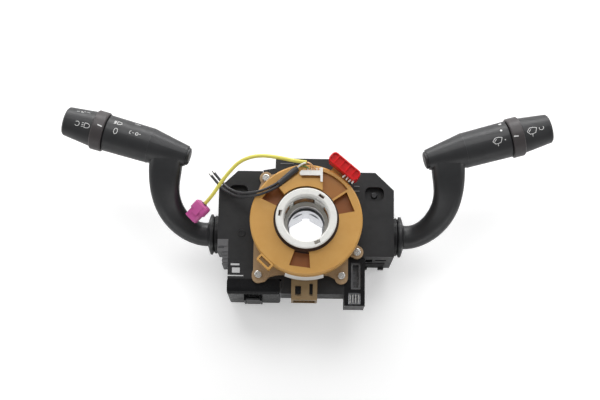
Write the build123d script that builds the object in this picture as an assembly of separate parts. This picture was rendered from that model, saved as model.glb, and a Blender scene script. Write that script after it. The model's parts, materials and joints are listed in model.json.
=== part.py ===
from build123d import *
from math import cos, sin, tan, radians, degrees, sqrt, atan2
import os

# Combination stalk switch, lying on its back.
# Millimetres. Z runs along the steering axis from the back face towards the driver,
# X runs to the driver's right and Y runs up. The origin is on the steering axis in the back face.

# ---- general clearances and walls ----
GAP = 0.3             # between pieces that move past each other
SEAT = 0.05           # between fixed pieces that plug into each other
RUN = 0.05            # radial clearance of a turning fit
WALL = 2.2            # moulded wall

# ---- levels along the steering axis ----
FRONT = 62.0          # front face of the housing
MODULE_BACK = 4.0     # back of the two switch modules
COVER_T = 2.8         # front cover of a module
STATOR_T = 4.0        # plate of the clock spring's fixed half
DISC_FRONT = 87.0     # front face of the turning cover
DISC_T = 7.5          # thickness of the turning cover
HUB_FRONT = 94.0      # front face of the hub flange
HUB_FLANGE_T = 3.0
SLEEVE_L = 49.0       # column sleeve, from the back face

# ---- centre housing ----
CORE_X = 36.0         # half width of the centre housing
CORE_TOP = 47.9
CORE_BOTTOM = -45.2
BLOCK_X = 26.0        # raised block at the top edge
BLOCK_TOP = 56.5
BLOCK_BACK = 18.0
BAND_X0, BAND_X1 = -19.4, 32.0   # lower band
BAND_BOTTOM = -57.0
BAND_BACK = 34.0
MOUTH_R = 25.0        # opening for the hub
MOUTH_DEPTH = 13.0
BACK_T = 3.0          # rear cover
FIX_X, FIX_Y = 26.0, 36.0        # fixing holes to the column bracket
FIX_R = 2.1
FIX_DEPTH = 16.0
FIX_BOSS_R = 5.0

# ---- column sleeve ----
SLEEVE_R = 20.0
SLEEVE_FLANGE_R = 27.0
SLEEVE_FLANGE_T = 4.0
SPIGOT_R = 17.5       # round seat at the back
SPIGOT_L = 6.0
HEX_ACROSS = 27.8     # facetted bore, across flats
KEY_W = 6.0
KEY_R = 17.3
NOSE_R = 14.7         # round bore at the front
NOSE_L = 12.0
SLEEVE_SCREW_PCD = 46.6
SLEEVE_SCREW_N = 3

# ---- switch modules ----
MOD_X = 72.6          # outer face
MOD_IN = 36.5         # inner face
MOD_TOP = 45.3
CORNER_X, CORNER_Y = 57.1, 30.4  # cut corner
MOD_BOTTOM = -25.5
LEFT_FOOT = -16.8     # lower wall of the left case
LEFT_STEP_Y = -12.6   # step of the left cover
FLANGE_X = 63.6       # slotted flange of the left cover
DISH_X, DISH_Y = 56.4, 27.2      # screw dish in the cover
DISH_L, DISH_W = 15.6, 11.8
DISH_CORNER = 4.6
DISH_WALL = 1.2
DISH_DEPTH = 6.0
PIN_BOSS = 2.5        # wall round the pivot pin
PIN_SKIN = 1.0        # cover left in front of it
CAM_HALF = 11.0       # half height of the detent block
FOOT_X = (48.6, 62.6) # two feet under the right case
FOOT_W, FOOT_H, FOOT_L = 4.6, 2.2, 8.0
LOUVRE_N = 4
LOUVRE_PITCH = 5.0
DISH_POST_R = 3.2
COVER_SCREW_R = 1.15
COVER_SCREW_HEAD = 1.6
COVER_SCREW_L = 9.0

# ---- stalk mechanism ----
PIVOT_X, PIVOT_Y, PIVOT_Z = 55.5, -4.4, 37.0
PIN_R = 2.0
TRUNNION_R = 2.5
BLOCK_W, BLOCK_D, BLOCK_H = 13.0, 10.0, 18.0     # pivot block
EAR_T = 2.6
FORK_H = 10.0
SHAFT_R = 6.0
SHAFT_END_X = 89.0
PLUNGER_R = 2.0
PLUNGER_REACH = 15.5
PLUNGER_L = 4.6       # shank, short of its bore by the travel and a gap
PLUNGER_BORE = 5.2
DETENT_R = 15.9
TURN_ANGLE = 10.0     # turn-signal throw, each way

# ---- goose-neck arm ----
COLLAR_R = 17.0
COLLAR_SPHERE_R = 28.6
COLLAR_T = 2.0
COLLAR_RIM_X = 22.4   # rim of the collar, from the pivot
COLLAR_RIM_T = 2.6    # its flat edge
COLLAR_LIP = 1.6
COLLAR_NECK_R = 11.2
ARM_START_X = 82.2
ARM_ROOT_D = 20.0
BEND_R = 33.0
BEND_START_X = 83.5
ARM_TOP_Y = 52.0
ARM_TOP_W = 27.0
ARM_TOP_T = 16.5

# ---- pods ----
POD_X, POD_Y, POD_Z = 128.1, 60.5, 82.0
POD_TILT = 15.8
HEAD_L = 31.0
HEAD_END_R = 8.5
BARREL_R0 = 14.5
BARREL_R1 = 15.0
BARREL_L = 38.2
RING_R = 16.4
RING_L = 10.0
KNOB_R0, KNOB_R1 = 14.7, 12.0
KNOB_L = 24.6
KNOB_EDGE = 1.2
KNOB_DOME = 0.9
SPINDLE_R = 6.0
STEM_R = 4.0
DRUM_R = 10.0

# ---- lower connectors ----
PLUG_X0, PLUG_X1 = -64.0, -20.8  # lighting connector
PLUG_BOTTOM = -57.4
PLUG_WALL = 2.0
PLUG_FLOOR = 20.0     # solid front of the shroud
PLUG_ROUND = 5.0
PIN_N, PIN_PITCH = 8, 4.6
LATCH_X0, LATCH_X1 = -48.7, -37.0
LATCH_OUT = 2.6                  # latch pivot, out from the shroud
LATCH_Z = 38.0
LATCH_PIN_R = 0.8
LATCH_CHEEK = 1.6
BRACKET_X1 = 48.8                # wiper bracket
BRACKET_TOP, BRACKET_BOTTOM = -27.0, -66.2
BRACKET_BACK = 34.0
BRACKET_WALL = 1.4
BRACKET_SIDE = 3.4
BRIDGE_Y0, BRIDGE_Y1 = -55.4, -52.7   # bar between the two windows of the bracket
CONNECTOR_Z = FRONT - 3.0
SHIELD_Z = FRONT - 4.0
SHIELD_T = 0.8
SOCKET_X0, SOCKET_X1 = -11.3, 9.9    # clock-spring socket
SOCKET_BOTTOM = -62.6
SOCKET_BACK = 46.0
SOCKET_WALL = 1.8
BLADE_N, BLADE_PITCH = 5, 3.3
BLADE_W, BLADE_T = 1.2, 0.6

EDGE_BOTTOM, EDGE_BACK = -33.0, 30.0  # ribbed block on the left
EDGE_STEP_Y, EDGE_STEP = -22.6, 4.0
EDGE_RIBS = 3
EDGE_GROOVE = 1.5

# ---- clock spring ----
CAN_R = 44.0
CAN_T = 1.6
NECK_R = 22.2
NECK_T = 1.4
CAN_GAP = 0.5         # can's rim below the turning cover
SKIRT_T = 1.2
SKIRT_L = 1.0         # skirt of the turning cover, down past the can's rim
DISC_R = CAN_R + GAP + SKIRT_T
GROOVE_R = 26.5       # groove round the hub
GROOVE_DEPTH = 3.0
POCKET_R1 = 38.8
POCKET_W0, POCKET_W1 = 11.8, 17.1
POCKET_DEPTH = 5.8
POCKET_ANGLE = -97.0
POCKET_N = 3
SUNK_R = 42.0         # sunken floor beside the deck
SUNK_DEPTH = 2.6
DECK_X0, DECK_X1 = -22.2, 12.8   # raised deck of the lead socket
DECK_Y0, DECK_Y1 = 25.0, 38.4
DECK_H = 5.0
SHELF_H = 2.4         # lower shelf behind it, which the leads lie on
BAR_X0 = -5.8         # white bar on the deck's back edge
BAR_W, BAR_H = 3.2, 1.6
BAR_SLOT_W = 2.2      # slot in the deck in front of the bar
BAR_SLOT_DEPTH = 4.0
CARRIER_T = 1.0
CARRIER_WALL = 1.9
CONTACT_N = 4
CONTACT_W = 1.5
CONTACT_X0 = 1.2
EYE_ANGLE = -133.0    # slotted eye on the rim
EYE_L, EYE_W = 13.6, 6.2
EYE_R = CAN_R + GAP + SKIRT_T / 4 + EYE_W / 2
EYE_SLOT_L, EYE_SLOT_W = 10.4, 3.2
PAD_STEP = 0.4                   # sloping pad of the label: its top stands out of the can by this
PAD_FLARE = 2.2                  # and its foot by this much more
PAD_HALF = 20.0                  # half angle
PAD_ANGLE = -91.3
LABEL_T = 0.15
LABEL_EDGE = 0.9
LUG_R = 5.3
LUG_HOLE_R = 1.6
TAB_REACH = 1.6       # the two lower tabs reach past their screws
LUG_POLAR = [(7.0, 131.1), (12.9, -132.4), (7.4, -55.1), (3.6, -28.2)]   # out from the can, and angle
SCREW_HEAD_R = 3.15
SCREW_HEAD_H = 2.2
LOCK_X, LOCK_Y = 30.5, 43.4      # transport lock
LOCK_L, LOCK_W, LOCK_H = 29.0, 9.6, 11.0
LOCK_Z = 82.0
TONGUE_L, TONGUE_W = 12.0, 2.4
LOCK_RIM = 1.3
LOCK_DISH = 1.6
LOCK_RIB_N = 4
HUB_R = 24.7          # flange
HUB_BORE = 18.7       # seat of the wheel's hub
HUB_SEAT_L = 8.0
HUB_TUBE_R = 21.5
HUB_LEDGE_R = 15.3
HUB_LEDGE_T = 3.0
HUB_WINDOWS = [(97.0, 17.5), (148.0, 7.0), (16.0, 15.5)]   # angle and width
WINDOW_Z0, WINDOW_Z1 = 67.5, 83.5
HUB_SLOTS = (56.0, 170.0, -65.0)
HUB_SLOT_W, HUB_SLOT_L, HUB_SLOT_DEPTH = 2.6, 5.0, 6.0
TAPE_T = 0.5
TAPE_TURNS = 2

POD_DIR = Vector(cos(radians(POD_TILT)), sin(radians(POD_TILT)), 0)
POD_PLANE = Plane(origin=(POD_X, POD_Y, POD_Z), x_dir=(0, 0, 1), z_dir=POD_DIR)
PIVOT = Pos(PIVOT_X, PIVOT_Y, PIVOT_Z)
KNOB_BASE = BARREL_L + RING_L + 2 * GAP
LOCK_ANGLE = degrees(atan2(LOCK_Y, LOCK_X))
LOCK_R = sqrt(LOCK_X ** 2 + LOCK_Y ** 2)
LOCK_PLACE = Pos(LOCK_X, LOCK_Y, 0) * Rot(0, 0, -40)


# ---- small helpers ----
def block(x0, x1, y0, y1, z0, z1):
    """Box between two corners."""
    centre = Pos((x0 + x1) / 2, (y0 + y1) / 2, (z0 + z1) / 2)
    return centre * Box(abs(x1 - x0), abs(y1 - y0), abs(z1 - z0))


def rod(radius, z0, z1, x=0.0, y=0.0):
    """Cylinder along Z."""
    return Pos(x, y, (z0 + z1) / 2) * Cylinder(radius, z1 - z0)


def prism(points, z0, z1):
    """Straight-sided outline raised along Z."""
    face = make_face(Polyline(*points, close=True))
    return Pos(0, 0, z0) * extrude(face, amount=z1 - z0)


def turned(points):
    """Profile of (radius, height) turned about Z."""
    face = make_face(Polyline(*[(r, 0, z) for r, z in points], close=True))
    return revolve(face, axis=Axis.Z)


def polar(radius, angle):
    return radius * cos(radians(angle)), radius * sin(radians(angle))


LUGS = [polar(CAN_R + out, angle) for out, angle in LUG_POLAR]


def along_x(solid):
    """Turn a solid made about Z so that its axis points along +X."""
    return Rot(0, 90, 0) * solid


def pod(solid):
    """Place a solid made about Z onto the axis of the right pod."""
    return POD_PLANE.location * solid


def left(solid):
    """Left-hand twin of a right-hand solid."""
    return mirror(solid, about=Plane.YZ)


def pan_screw(head_r=SCREW_HEAD_R, head_h=SCREW_HEAD_H, shank_r=1.5, shank_l=8.0):
    """Pan-head screw with its head above z = 0 and a cross recess."""
    head = fillet((Pos(0, 0, head_h / 2) * Cylinder(head_r, head_h)).edges().sort_by(Axis.Z)[-1], 0.8)
    cross = Box(0.9, head_r * 1.1, 2 * head_h / 3) + Box(head_r * 1.1, 0.9, 2 * head_h / 3)
    return head - Pos(0, 0, head_h) * cross + rod(shank_r, -shank_l, 0)


# ---- column sleeve ----
def column_sleeve():
    body = rod(SLEEVE_R, 0, SLEEVE_L) + rod(SLEEVE_FLANGE_R, 0, SLEEVE_FLANGE_T)
    body = chamfer(body.edges().filter_by(GeomType.CIRCLE).sort_by(Axis.Z)[-1], 2.0)
    body -= rod(SPIGOT_R, 0, SPIGOT_L)
    hexagon = RegularPolygon(HEX_ACROSS / 2, 6, major_radius=False, rotation=30)
    hex_top = SLEEVE_L - NOSE_L
    body -= Pos(0, 0, SPIGOT_L) * extrude(hexagon, amount=hex_top - SPIGOT_L)
    body -= block(-KEY_W / 2, KEY_W / 2, 0, KEY_R, SPIGOT_L, hex_top)
    body -= rod(NOSE_R, hex_top, SLEEVE_L)
    for x, y in sleeve_screw_places():
        body -= rod(1.6, 0, SLEEVE_FLANGE_T, x, y)
        body -= rod(3.2, 0, 2.0, x, y)
    return body


def sleeve_screw_places():
    step = 360 / SLEEVE_SCREW_N
    return [polar(SLEEVE_SCREW_PCD / 2, 30 + step * i) for i in range(SLEEVE_SCREW_N)]


def sleeve_screws():
    screws = []
    for x, y in sleeve_screw_places():
        screw = Rot(180, 0, 0) * pan_screw(head_r=2.9, head_h=1.7, shank_r=1.5, shank_l=9.0)
        screws.append(Pos(x, y, 2.0) * screw)
    return Compound(screws)


# ---- centre housing ----
def core_outline():
    return [
        (-CORE_X, CORE_BOTTOM), (CORE_X, CORE_BOTTOM), (CORE_X, CORE_TOP),
        (-BLOCK_X, CORE_TOP), (-CORE_X, CORE_TOP - 1.8),
    ]


def core_inner():
    x, y0, y1 = CORE_X - WALL, CORE_BOTTOM + WALL, CORE_TOP - 1.8 - WALL
    return [(-x, y0), (x, y0), (x, y1), (-x, y1)]


def fixing_places():
    return [(sx * FIX_X, sy * FIX_Y) for sx in (-1, 1) for sy in (-1, 1)]


def centre_housing():
    body = prism(core_outline(), BACK_T, FRONT)
    body += block(-BLOCK_X, BLOCK_X, CORE_TOP - 1.8, BLOCK_TOP, BLOCK_BACK, FRONT)
    body += block(BAND_X0, BAND_X1, BAND_BOTTOM, CORE_BOTTOM, BAND_BACK, FRONT)
    body -= prism(core_inner(), BACK_T, FRONT - 2 * WALL)
    body -= block(-BLOCK_X + WALL, BLOCK_X - WALL, CORE_TOP, BLOCK_TOP - WALL, BLOCK_BACK, FRONT - WALL)
    body -= block(BAND_X0 + WALL, BAND_X1 - WALL, BAND_BOTTOM + WALL, CORE_BOTTOM, BAND_BACK, FRONT - WALL)
    body += rod(MOUTH_R + WALL, BACK_T, FRONT)
    ribs = block(-CORE_X + 1, CORE_X - 1, -1, 1, BACK_T + 6, FRONT - WALL)
    ribs += block(-1, 1, CORE_BOTTOM + 1, CORE_TOP - 2, BACK_T + 6, FRONT - WALL)
    body += ribs
    for x, y in fixing_places():
        body += rod(FIX_BOSS_R, 0, FRONT - WALL, x, y)
        body -= rod(FIX_R, 0, FIX_DEPTH, x, y)
    body -= rod(MOUTH_R, FRONT - MOUTH_DEPTH, FRONT)
    body -= rod(SLEEVE_R + SEAT, 0, FRONT)
    for x, y in sleeve_screw_places():
        body -= rod(1.5 + SEAT, 0, 14, x, y)
    body -= rod(SLEEVE_FLANGE_R + SEAT, 0, SLEEVE_FLANGE_T)
    for x, y in LUGS:
        body -= rod(1.55, FRONT - 8, FRONT, x, y)
    return body


def rear_cover():
    plate = prism(core_outline(), 0, BACK_T)
    plate -= rod(SLEEVE_FLANGE_R + SEAT, 0, BACK_T)
    for x, y in fixing_places():
        plate -= rod(FIX_BOSS_R + SEAT, 0, BACK_T, x, y)
    return plate


# ---- switch modules ----
def module_outline(inset=0.0, foot=MOD_BOTTOM):
    x0, x1 = MOD_IN + inset, MOD_X - inset
    cut = inset * tan(radians(22.5))
    return [
        (x0, foot + inset), (x1, foot + inset), (x1, CORNER_Y - cut),
        (CORNER_X - cut, MOD_TOP - inset), (x0, MOD_TOP - inset),
    ]


def lever_window():
    """Opening in the outer wall for the lever shaft, with room for its throw."""
    reach = MOD_X - PIVOT_X
    half = SHAFT_R + reach * tan(radians(TURN_ANGLE)) + 5 * GAP
    face = RectangleRounded(2 * half, 2 * half, half * 0.6)
    hole = extrude(face, amount=3 * WALL, both=True)
    return Pos(MOD_X, PIVOT_Y, PIVOT_Z) * (Rot(0, 90, 0) * hole)


def switch_case(foot):
    """Open box with the post of the pivot pin, the detent block and the post of the cover's screw."""
    floor, top = MODULE_BACK + WALL, FRONT - COVER_T
    body = prism(module_outline(0, foot), MODULE_BACK, top)
    body -= prism(module_outline(WALL, foot), floor, top)
    body -= lever_window()
    body += rod(PIN_R + PIN_BOSS, floor, PIVOT_Z - BLOCK_H / 2 - GAP, PIVOT_X, PIVOT_Y)
    body -= rod(PIN_R, MODULE_BACK, PIVOT_Z, PIVOT_X, PIVOT_Y)
    cam_x = PIVOT_X - DETENT_R + 3.4
    cam_y0, cam_y1 = PIVOT_Y - CAM_HALF, PIVOT_Y + CAM_HALF
    cam = block(MOD_IN + WALL - 0.5, cam_x, cam_y0, cam_y1, floor, PIVOT_Z + 8)
    cam -= rod(DETENT_R, 0, FRONT, PIVOT_X, PIVOT_Y)
    post_top = FRONT - DISH_DEPTH - DISH_WALL
    body += cam + rod(DISH_POST_R, floor, post_top, DISH_X, DISH_Y)
    return body - rod(COVER_SCREW_R + SEAT, post_top - COVER_SCREW_L, post_top, DISH_X, DISH_Y)


def right_switch_case():
    """Right-hand case, with two slots, louvres and two feet on its lower wall."""
    body = switch_case(MOD_BOTTOM)
    outside, inside = MOD_BOTTOM - 1, MOD_BOTTOM + WALL + 1
    body -= block(50.3, 56.0, outside, inside, 34, 47)
    body -= block(58.0, 67.5, outside, inside, 41, 46)
    for i in range(LOUVRE_N):
        z = MODULE_BACK + FOOT_L + LOUVRE_PITCH * i
        body += block(50, 67, MOD_BOTTOM - 0.7, MOD_BOTTOM, z, z + LOUVRE_PITCH / 2)
    for x in FOOT_X:
        body += block(x, x + FOOT_W, MOD_BOTTOM - FOOT_H, MOD_BOTTOM, MODULE_BACK, MODULE_BACK + FOOT_L)
    return body


def left_switch_case():
    return left(switch_case(LEFT_FOOT))


def dish(grow, z0, z1):
    """Rounded cup round the cover's screw."""
    shape = RectangleRounded(DISH_L + 2 * grow, DISH_W + 2 * grow, DISH_CORNER + grow)
    return Pos(DISH_X, DISH_Y, z0) * extrude(shape, amount=z1 - z0)


def switch_cover(outline):
    plate = prism(outline, FRONT - COVER_T, FRONT)
    plate += dish(DISH_WALL, FRONT - DISH_DEPTH - DISH_WALL, FRONT)
    plate -= dish(0, FRONT - DISH_DEPTH, FRONT)
    plate -= rod(COVER_SCREW_R + 2 * SEAT, FRONT - DISH_DEPTH - DISH_WALL, FRONT, DISH_X, DISH_Y)
    plate += rod(PIN_R + PIN_BOSS, PIVOT_Z + BLOCK_H / 2 + GAP, FRONT - COVER_T, PIVOT_X, PIVOT_Y)
    plate -= rod(PIN_R, PIVOT_Z, FRONT - PIN_SKIN, PIVOT_X, PIVOT_Y)
    return plate


def right_switch_cover():
    plate = switch_cover(module_outline())
    return plate - lug_holes()


def left_cover_outline():
    return [
        (MOD_IN, CORE_BOTTOM), (FLANGE_X, CORE_BOTTOM), (FLANGE_X, LEFT_STEP_Y),
        (MOD_X, LEFT_STEP_Y), (MOD_X, CORNER_Y), (CORNER_X, MOD_TOP), (MOD_IN, MOD_TOP),
    ]


def left_switch_cover():
    plate = switch_cover(left_cover_outline())
    plate -= block(54.1, 61.4, -32.3, -34.3, 0, FRONT + 1)
    plate -= block(53.7, 60.2, -35.7, -40.4, 0, FRONT + 1)
    plate -= block(50.7, FLANGE_X + 1, -41.9, -43.2, 0, FRONT + 1)
    return left(plate) - lug_holes()


def lug_holes():
    """Holes for the clock spring's screws that land on a cover."""
    return Compound([rod(1.55, FRONT - COVER_T, FRONT, x, y) for x, y in LUGS])


def pivot_pin():
    return rod(PIN_R, MODULE_BACK, FRONT - PIN_SKIN, PIVOT_X, PIVOT_Y)


def cover_screws():
    screw = pan_screw(head_r=2.7, head_h=COVER_SCREW_HEAD, shank_r=COVER_SCREW_R, shank_l=COVER_SCREW_L)
    screw = Pos(DISH_X, DISH_Y, FRONT - DISH_DEPTH) * screw
    return Compound([screw, left(screw)])


def contact_board():
    z0 = MODULE_BACK + WALL
    x0, x1 = MOD_IN + WALL + 1, MOD_X - WALL - 1
    y0, y1 = PIVOT_Y + CAM_HALF + 1, DISH_Y - DISH_POST_R - 1
    return block(x0, x1, y0, y1, z0, z0 + 1.6)


# ---- stalk mechanism, right hand, made about the pivot ----
def pivot_block():
    body = Box(BLOCK_W, BLOCK_D, BLOCK_H)
    trunnion = Rot(90, 0, 0) * Cylinder(TRUNNION_R, BLOCK_D + 2 * EAR_T)
    body = chamfer(body.edges().filter_by(Axis.Z), 1.5) + trunnion
    body -= Cylinder(PIN_R + RUN, BLOCK_H + 1)
    return PIVOT * body


def lever_fork():
    y0 = BLOCK_D / 2 + GAP
    y1 = y0 + EAR_T
    ears = block(-8.2, 10, -y1, y1, -FORK_H / 2, FORK_H / 2) - block(-8.2, 9.5, -y0, y0, -FORK_H, FORK_H)
    tail = block(-14.0, -8.2, -4.5, 4.5, -4, 4) + block(-10.2, -8.2, -y1, y1, -FORK_H / 2, FORK_H / 2)
    nose = block(9.5, 14, -y1, y1, -FORK_H / 2, FORK_H / 2)
    nose = chamfer(nose.edges().filter_by(Axis.Z).group_by(Axis.X)[-1], 3.0)
    shaft = along_x(Cylinder(SHAFT_R, SHAFT_END_X - PIVOT_X - 12))
    body = ears + tail + nose + Pos((SHAFT_END_X - PIVOT_X + 12) / 2, 0, 0) * shaft
    body -= Rot(90, 0, 0) * Cylinder(TRUNNION_R + RUN, 3 * BLOCK_D)
    body -= Pos(-14, 0, 0) * along_x(Cylinder(PLUNGER_R + RUN, 2 * PLUNGER_BORE))
    return PIVOT * body


def detent_plunger():
    body = along_x(Cylinder(PLUNGER_R, PLUNGER_L))
    body = Pos(-PLUNGER_REACH + PLUNGER_R + PLUNGER_L / 2 - 0.8, 0, 0) * body
    tip = Pos(-PLUNGER_REACH + PLUNGER_R, 0, 0) * Sphere(PLUNGER_R)
    return PIVOT * (body + tip)


def dust_collar():
    """Boot on the lever shaft: a flat-edged rim, a cone to the neck and an inner face centred on the pivot."""
    inner = COLLAR_SPHERE_R - COLLAR_T
    seat_x = ARM_START_X - PIVOT_X
    bore, lip_r = SHAFT_R + SEAT, COLLAR_R - COLLAR_LIP
    edge_x = COLLAR_RIM_X + COLLAR_RIM_T
    inner_end = sqrt(inner ** 2 - lip_r ** 2)
    side = Polyline(
        (bore, 0, sqrt(inner ** 2 - bore ** 2)), (bore, 0, seat_x), (ARM_ROOT_D / 2, 0, seat_x),
        (COLLAR_NECK_R, 0, seat_x - 0.6), (COLLAR_R - COLLAR_T, 0, edge_x), (COLLAR_R, 0, edge_x - 0.8),
        (COLLAR_R, 0, COLLAR_RIM_X), (lip_r, 0, COLLAR_RIM_X), (lip_r, 0, inner_end),
    )
    under = ThreePointArc((lip_r, 0, inner_end), on_dome(inner, (bore + lip_r) / 2), on_dome(inner, bore))
    return PIVOT * along_x(revolve(make_face([side, under]), axis=Axis.Z))


def on_dome(radius, r):
    return r, 0, sqrt(radius ** 2 - r ** 2)


# ---- goose-neck arm ----
def arm_station(turn):
    """Plane across the arm where it has turned by this many degrees, and its share of the way."""
    a = radians(turn)
    x = BEND_START_X + BEND_R * sin(a)
    y = PIVOT_Y + BEND_R * (1 - cos(a))
    share = turn / 90
    rise = POD_Z - PIVOT_Z
    z = PIVOT_Z + rise * ease(share * BEND_L / ARM_L)
    slope = rise * ease_slope(share * BEND_L / ARM_L) / ARM_L
    return arm_plane(x, y, z, cos(a), sin(a), slope)


def arm_plane(x, y, z, dx, dy, slope):
    return Plane(origin=(x, y, z), x_dir=(dy, -dx, 0), z_dir=(dx, dy, slope))


BEND_L = BEND_R * radians(90)
ARM_L = BEND_L + ARM_TOP_Y - (PIVOT_Y + BEND_R)


def ease(t):
    return t * t * (3 - 2 * t)


def ease_slope(t):
    return 6 * t * (1 - t)


def arm():
    stations = []
    root = Plane(origin=(ARM_START_X, PIVOT_Y, PIVOT_Z), x_dir=(0, -1, 0), z_dir=(1, 0, 0))
    stations.append((root, ARM_ROOT_D, ARM_ROOT_D, ARM_ROOT_D / 2 - 0.2))
    steps = 4
    for i in range(1, steps + 1):
        share = i / steps
        width = 18.4 + (24.0 - 18.4) * share ** 1.5
        deep = 18.5 - 1.0 * share
        stations.append((arm_station(90 * share), width, deep, 8.6 - 1.8 * share))
    top = arm_plane(BEND_START_X + BEND_R - 1.5, ARM_TOP_Y, POD_Z, 0, 1, 0)
    stations.append((top, ARM_TOP_W, ARM_TOP_T, 6.0))
    sections = [p * RectangleRounded(w, d, r) for p, w, d, r in stations]
    neck = loft(sections)
    head = pod(turned([(0, -HEAD_L), (HEAD_END_R, -HEAD_L), (BARREL_R0, 0), (0, 0)]))
    body = neck + head
    body -= along_x(Cylinder(SHAFT_R + SEAT, 2 * SHAFT_END_X)).moved(Location((0, PIVOT_Y, PIVOT_Z)))
    body -= pod(rod(SPINDLE_R + SEAT, -10, 1))
    body -= pod(rod(HEAD_END_R - 1.2, -HEAD_L - 1, -HEAD_L + 3))
    return body


def head_cap():
    r = HEAD_END_R - 1.2 - SEAT
    body = turned([(0, -HEAD_L + 3), (r, -HEAD_L + 3), (r, -HEAD_L - 1.6), (r - 1.4, -HEAD_L - 2.4), (0, -HEAD_L - 2.6)])
    return pod(body)


# ---- pod pieces, made about Z and then placed ----
def barrel():
    wall = 2.0
    body = turned([
        (SPINDLE_R + SEAT, 0), (BARREL_R0, 0), (BARREL_R1, BARREL_L - 1), (BARREL_R1 - 0.8, BARREL_L),
        (BARREL_R1 - 0.8 - wall, BARREL_L), (BARREL_R1 - 1 - wall, 3), (SPINDLE_R + SEAT, 3),
    ])
    return pod(body)


def spindle():
    return pod(turned([(STEM_R + RUN, -10), (SPINDLE_R, -10), (SPINDLE_R, KNOB_BASE + 0.2), (STEM_R + RUN, KNOB_BASE + 0.2)]))


def ring():
    s0 = BARREL_L + GAP
    s1 = s0 + RING_L
    profile = [
        (SPINDLE_R + RUN, s0 - 9), (DRUM_R, s0 - 9), (DRUM_R, s0), (RING_R - 0.8, s0), (RING_R, s0 + 0.8),
        (RING_R, s1 - 0.8), (RING_R - 0.8, s1), (SPINDLE_R + RUN, s1),
    ]
    return pod(turned(profile))


def knob():
    """Tapered knob with a slightly domed end, and the stem that turns in the spindle."""
    s0 = KNOB_BASE
    s1 = s0 + KNOB_L
    end_r = KNOB_R1 - KNOB_EDGE
    body = turned([
        (0, s0 + 1.5), (SPINDLE_R + 1, s0 + 1.5), (SPINDLE_R + 1, s0), (KNOB_R0, s0), (KNOB_R1, s1 - KNOB_EDGE),
        (end_r, s1), (end_r / 2, s1 + 0.75 * KNOB_DOME), (0, s1 + KNOB_DOME),
    ])
    return pod(body + rod(STEM_R, s0 - 30, s0 + 2))


# ---- clock spring, fixed half ----
def base_foot():
    """Outline of the foot, with a flared tab round each of the two lower lugs."""
    (xl, yl), (xr, yr) = LUGS[1], LUGS[2]
    yl, yr = yl - TAB_REACH, yr - TAB_REACH
    edge = xl - LUG_R + 1.0
    shelf = -CAN_R + 2.0
    return [
        (edge, yl), (xl, yl - LUG_R), (xl + LUG_R, yl - LUG_R + 1.2), (xl + 9.1, yl - 0.2), (xl + 16.8, shelf),
        (xr - 10.6, shelf), (xr - 4.7, yr - 1.2), (xr, yr - LUG_R), (xr + LUG_R, yr), (xr + LUG_R, yr + 18.0),
        (33, 30), (-28, 42), (-37, 36), (edge, 20),
    ]


def label_pad(out, z0, z1):
    """Sector of a cone on the can that carries the label."""
    top, foot = DISC_FRONT - DISC_T - CAN_GAP, FRONT + STATOR_T
    slope = PAD_FLARE / (top - foot)
    foot_r = CAN_R + PAD_STEP + PAD_FLARE
    r0, r1 = foot_r - slope * (z0 - foot) + out, foot_r - slope * (z1 - foot) + out
    cone = turned([(CAN_R - CAN_T / 2, z0), (r0, z0), (r1, z1), (CAN_R - CAN_T / 2, z1)])
    x, y = polar(2 * CAN_R, PAD_HALF)
    sector = prism([(0, 0), (x, -y), (x, y)], z0, z1)
    return cone & Rot(0, 0, PAD_ANGLE) * sector


def clock_spring_base():
    z0, z1 = FRONT, FRONT + STATOR_T
    top = DISC_FRONT - DISC_T - CAN_GAP
    plate = rod(CAN_R, z0, z1) + prism(base_foot(), z0, z1)
    for x, y in LUGS[1:3]:
        plate += rod(LUG_R, z0, z1, x, y - TAB_REACH)
    for x, y in LUGS:
        plate += rod(LUG_R, z0, z1, x, y)
        web = block(0, sqrt(x * x + y * y), -LUG_R, LUG_R, z0, z1)
        plate += Rot(0, 0, degrees(atan2(y, x))) * web
    body = plate + rod(CAN_R, z0, top) + label_pad(0, z1, top - SKIRT_L - GAP)
    body -= rod(CAN_R - CAN_T, z1 - 1, top)
    body += rod(NECK_R + NECK_T, z0, top - CAN_GAP)
    body -= rod(NECK_R, z0, top)
    for x, y in LUGS:
        body -= rod(LUG_HOLE_R, z0, z1, x, y)
    return body


def base_screws():
    z = FRONT + STATOR_T
    reach = STATOR_T + COVER_T - 0.2
    return Compound([Pos(x, y, z) * pan_screw(shank_r=1.5, shank_l=reach) for x, y in LUGS])


def ribbon_tape():
    """Flat tape wound in half turns whose radius grows by half a pitch each time."""
    pitch = 3.0
    z0, z1 = FRONT + STATOR_T, DISC_FRONT - DISC_T - 1.5
    r = NECK_R + NECK_T + 3.0
    edges = []
    x, side = r, 1
    centre = 0.0
    for i in range(2 * TAPE_TURNS):
        arc = CenterArc((centre, 0), r, 0 if side > 0 else 180, 180)
        edges.append(arc)
        centre -= side * pitch / 4
        r += pitch / 4
        side = -side
    path = Wire(edges)
    strip = path.offset_2d(TAPE_T / 2, side=Side.BOTH)
    return Pos(0, 0, z0) * extrude(make_face(strip), amount=z1 - z0)


def rating_label():
    """Bare label wrapped on the sloping pad."""
    z0 = FRONT + STATOR_T + LABEL_EDGE
    z1 = DISC_FRONT - DISC_T - CAN_GAP - SKIRT_L - GAP - LABEL_EDGE
    return label_pad(LABEL_T, z0, z1) - label_pad(0, z0 - 1, z1 + 1)


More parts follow.
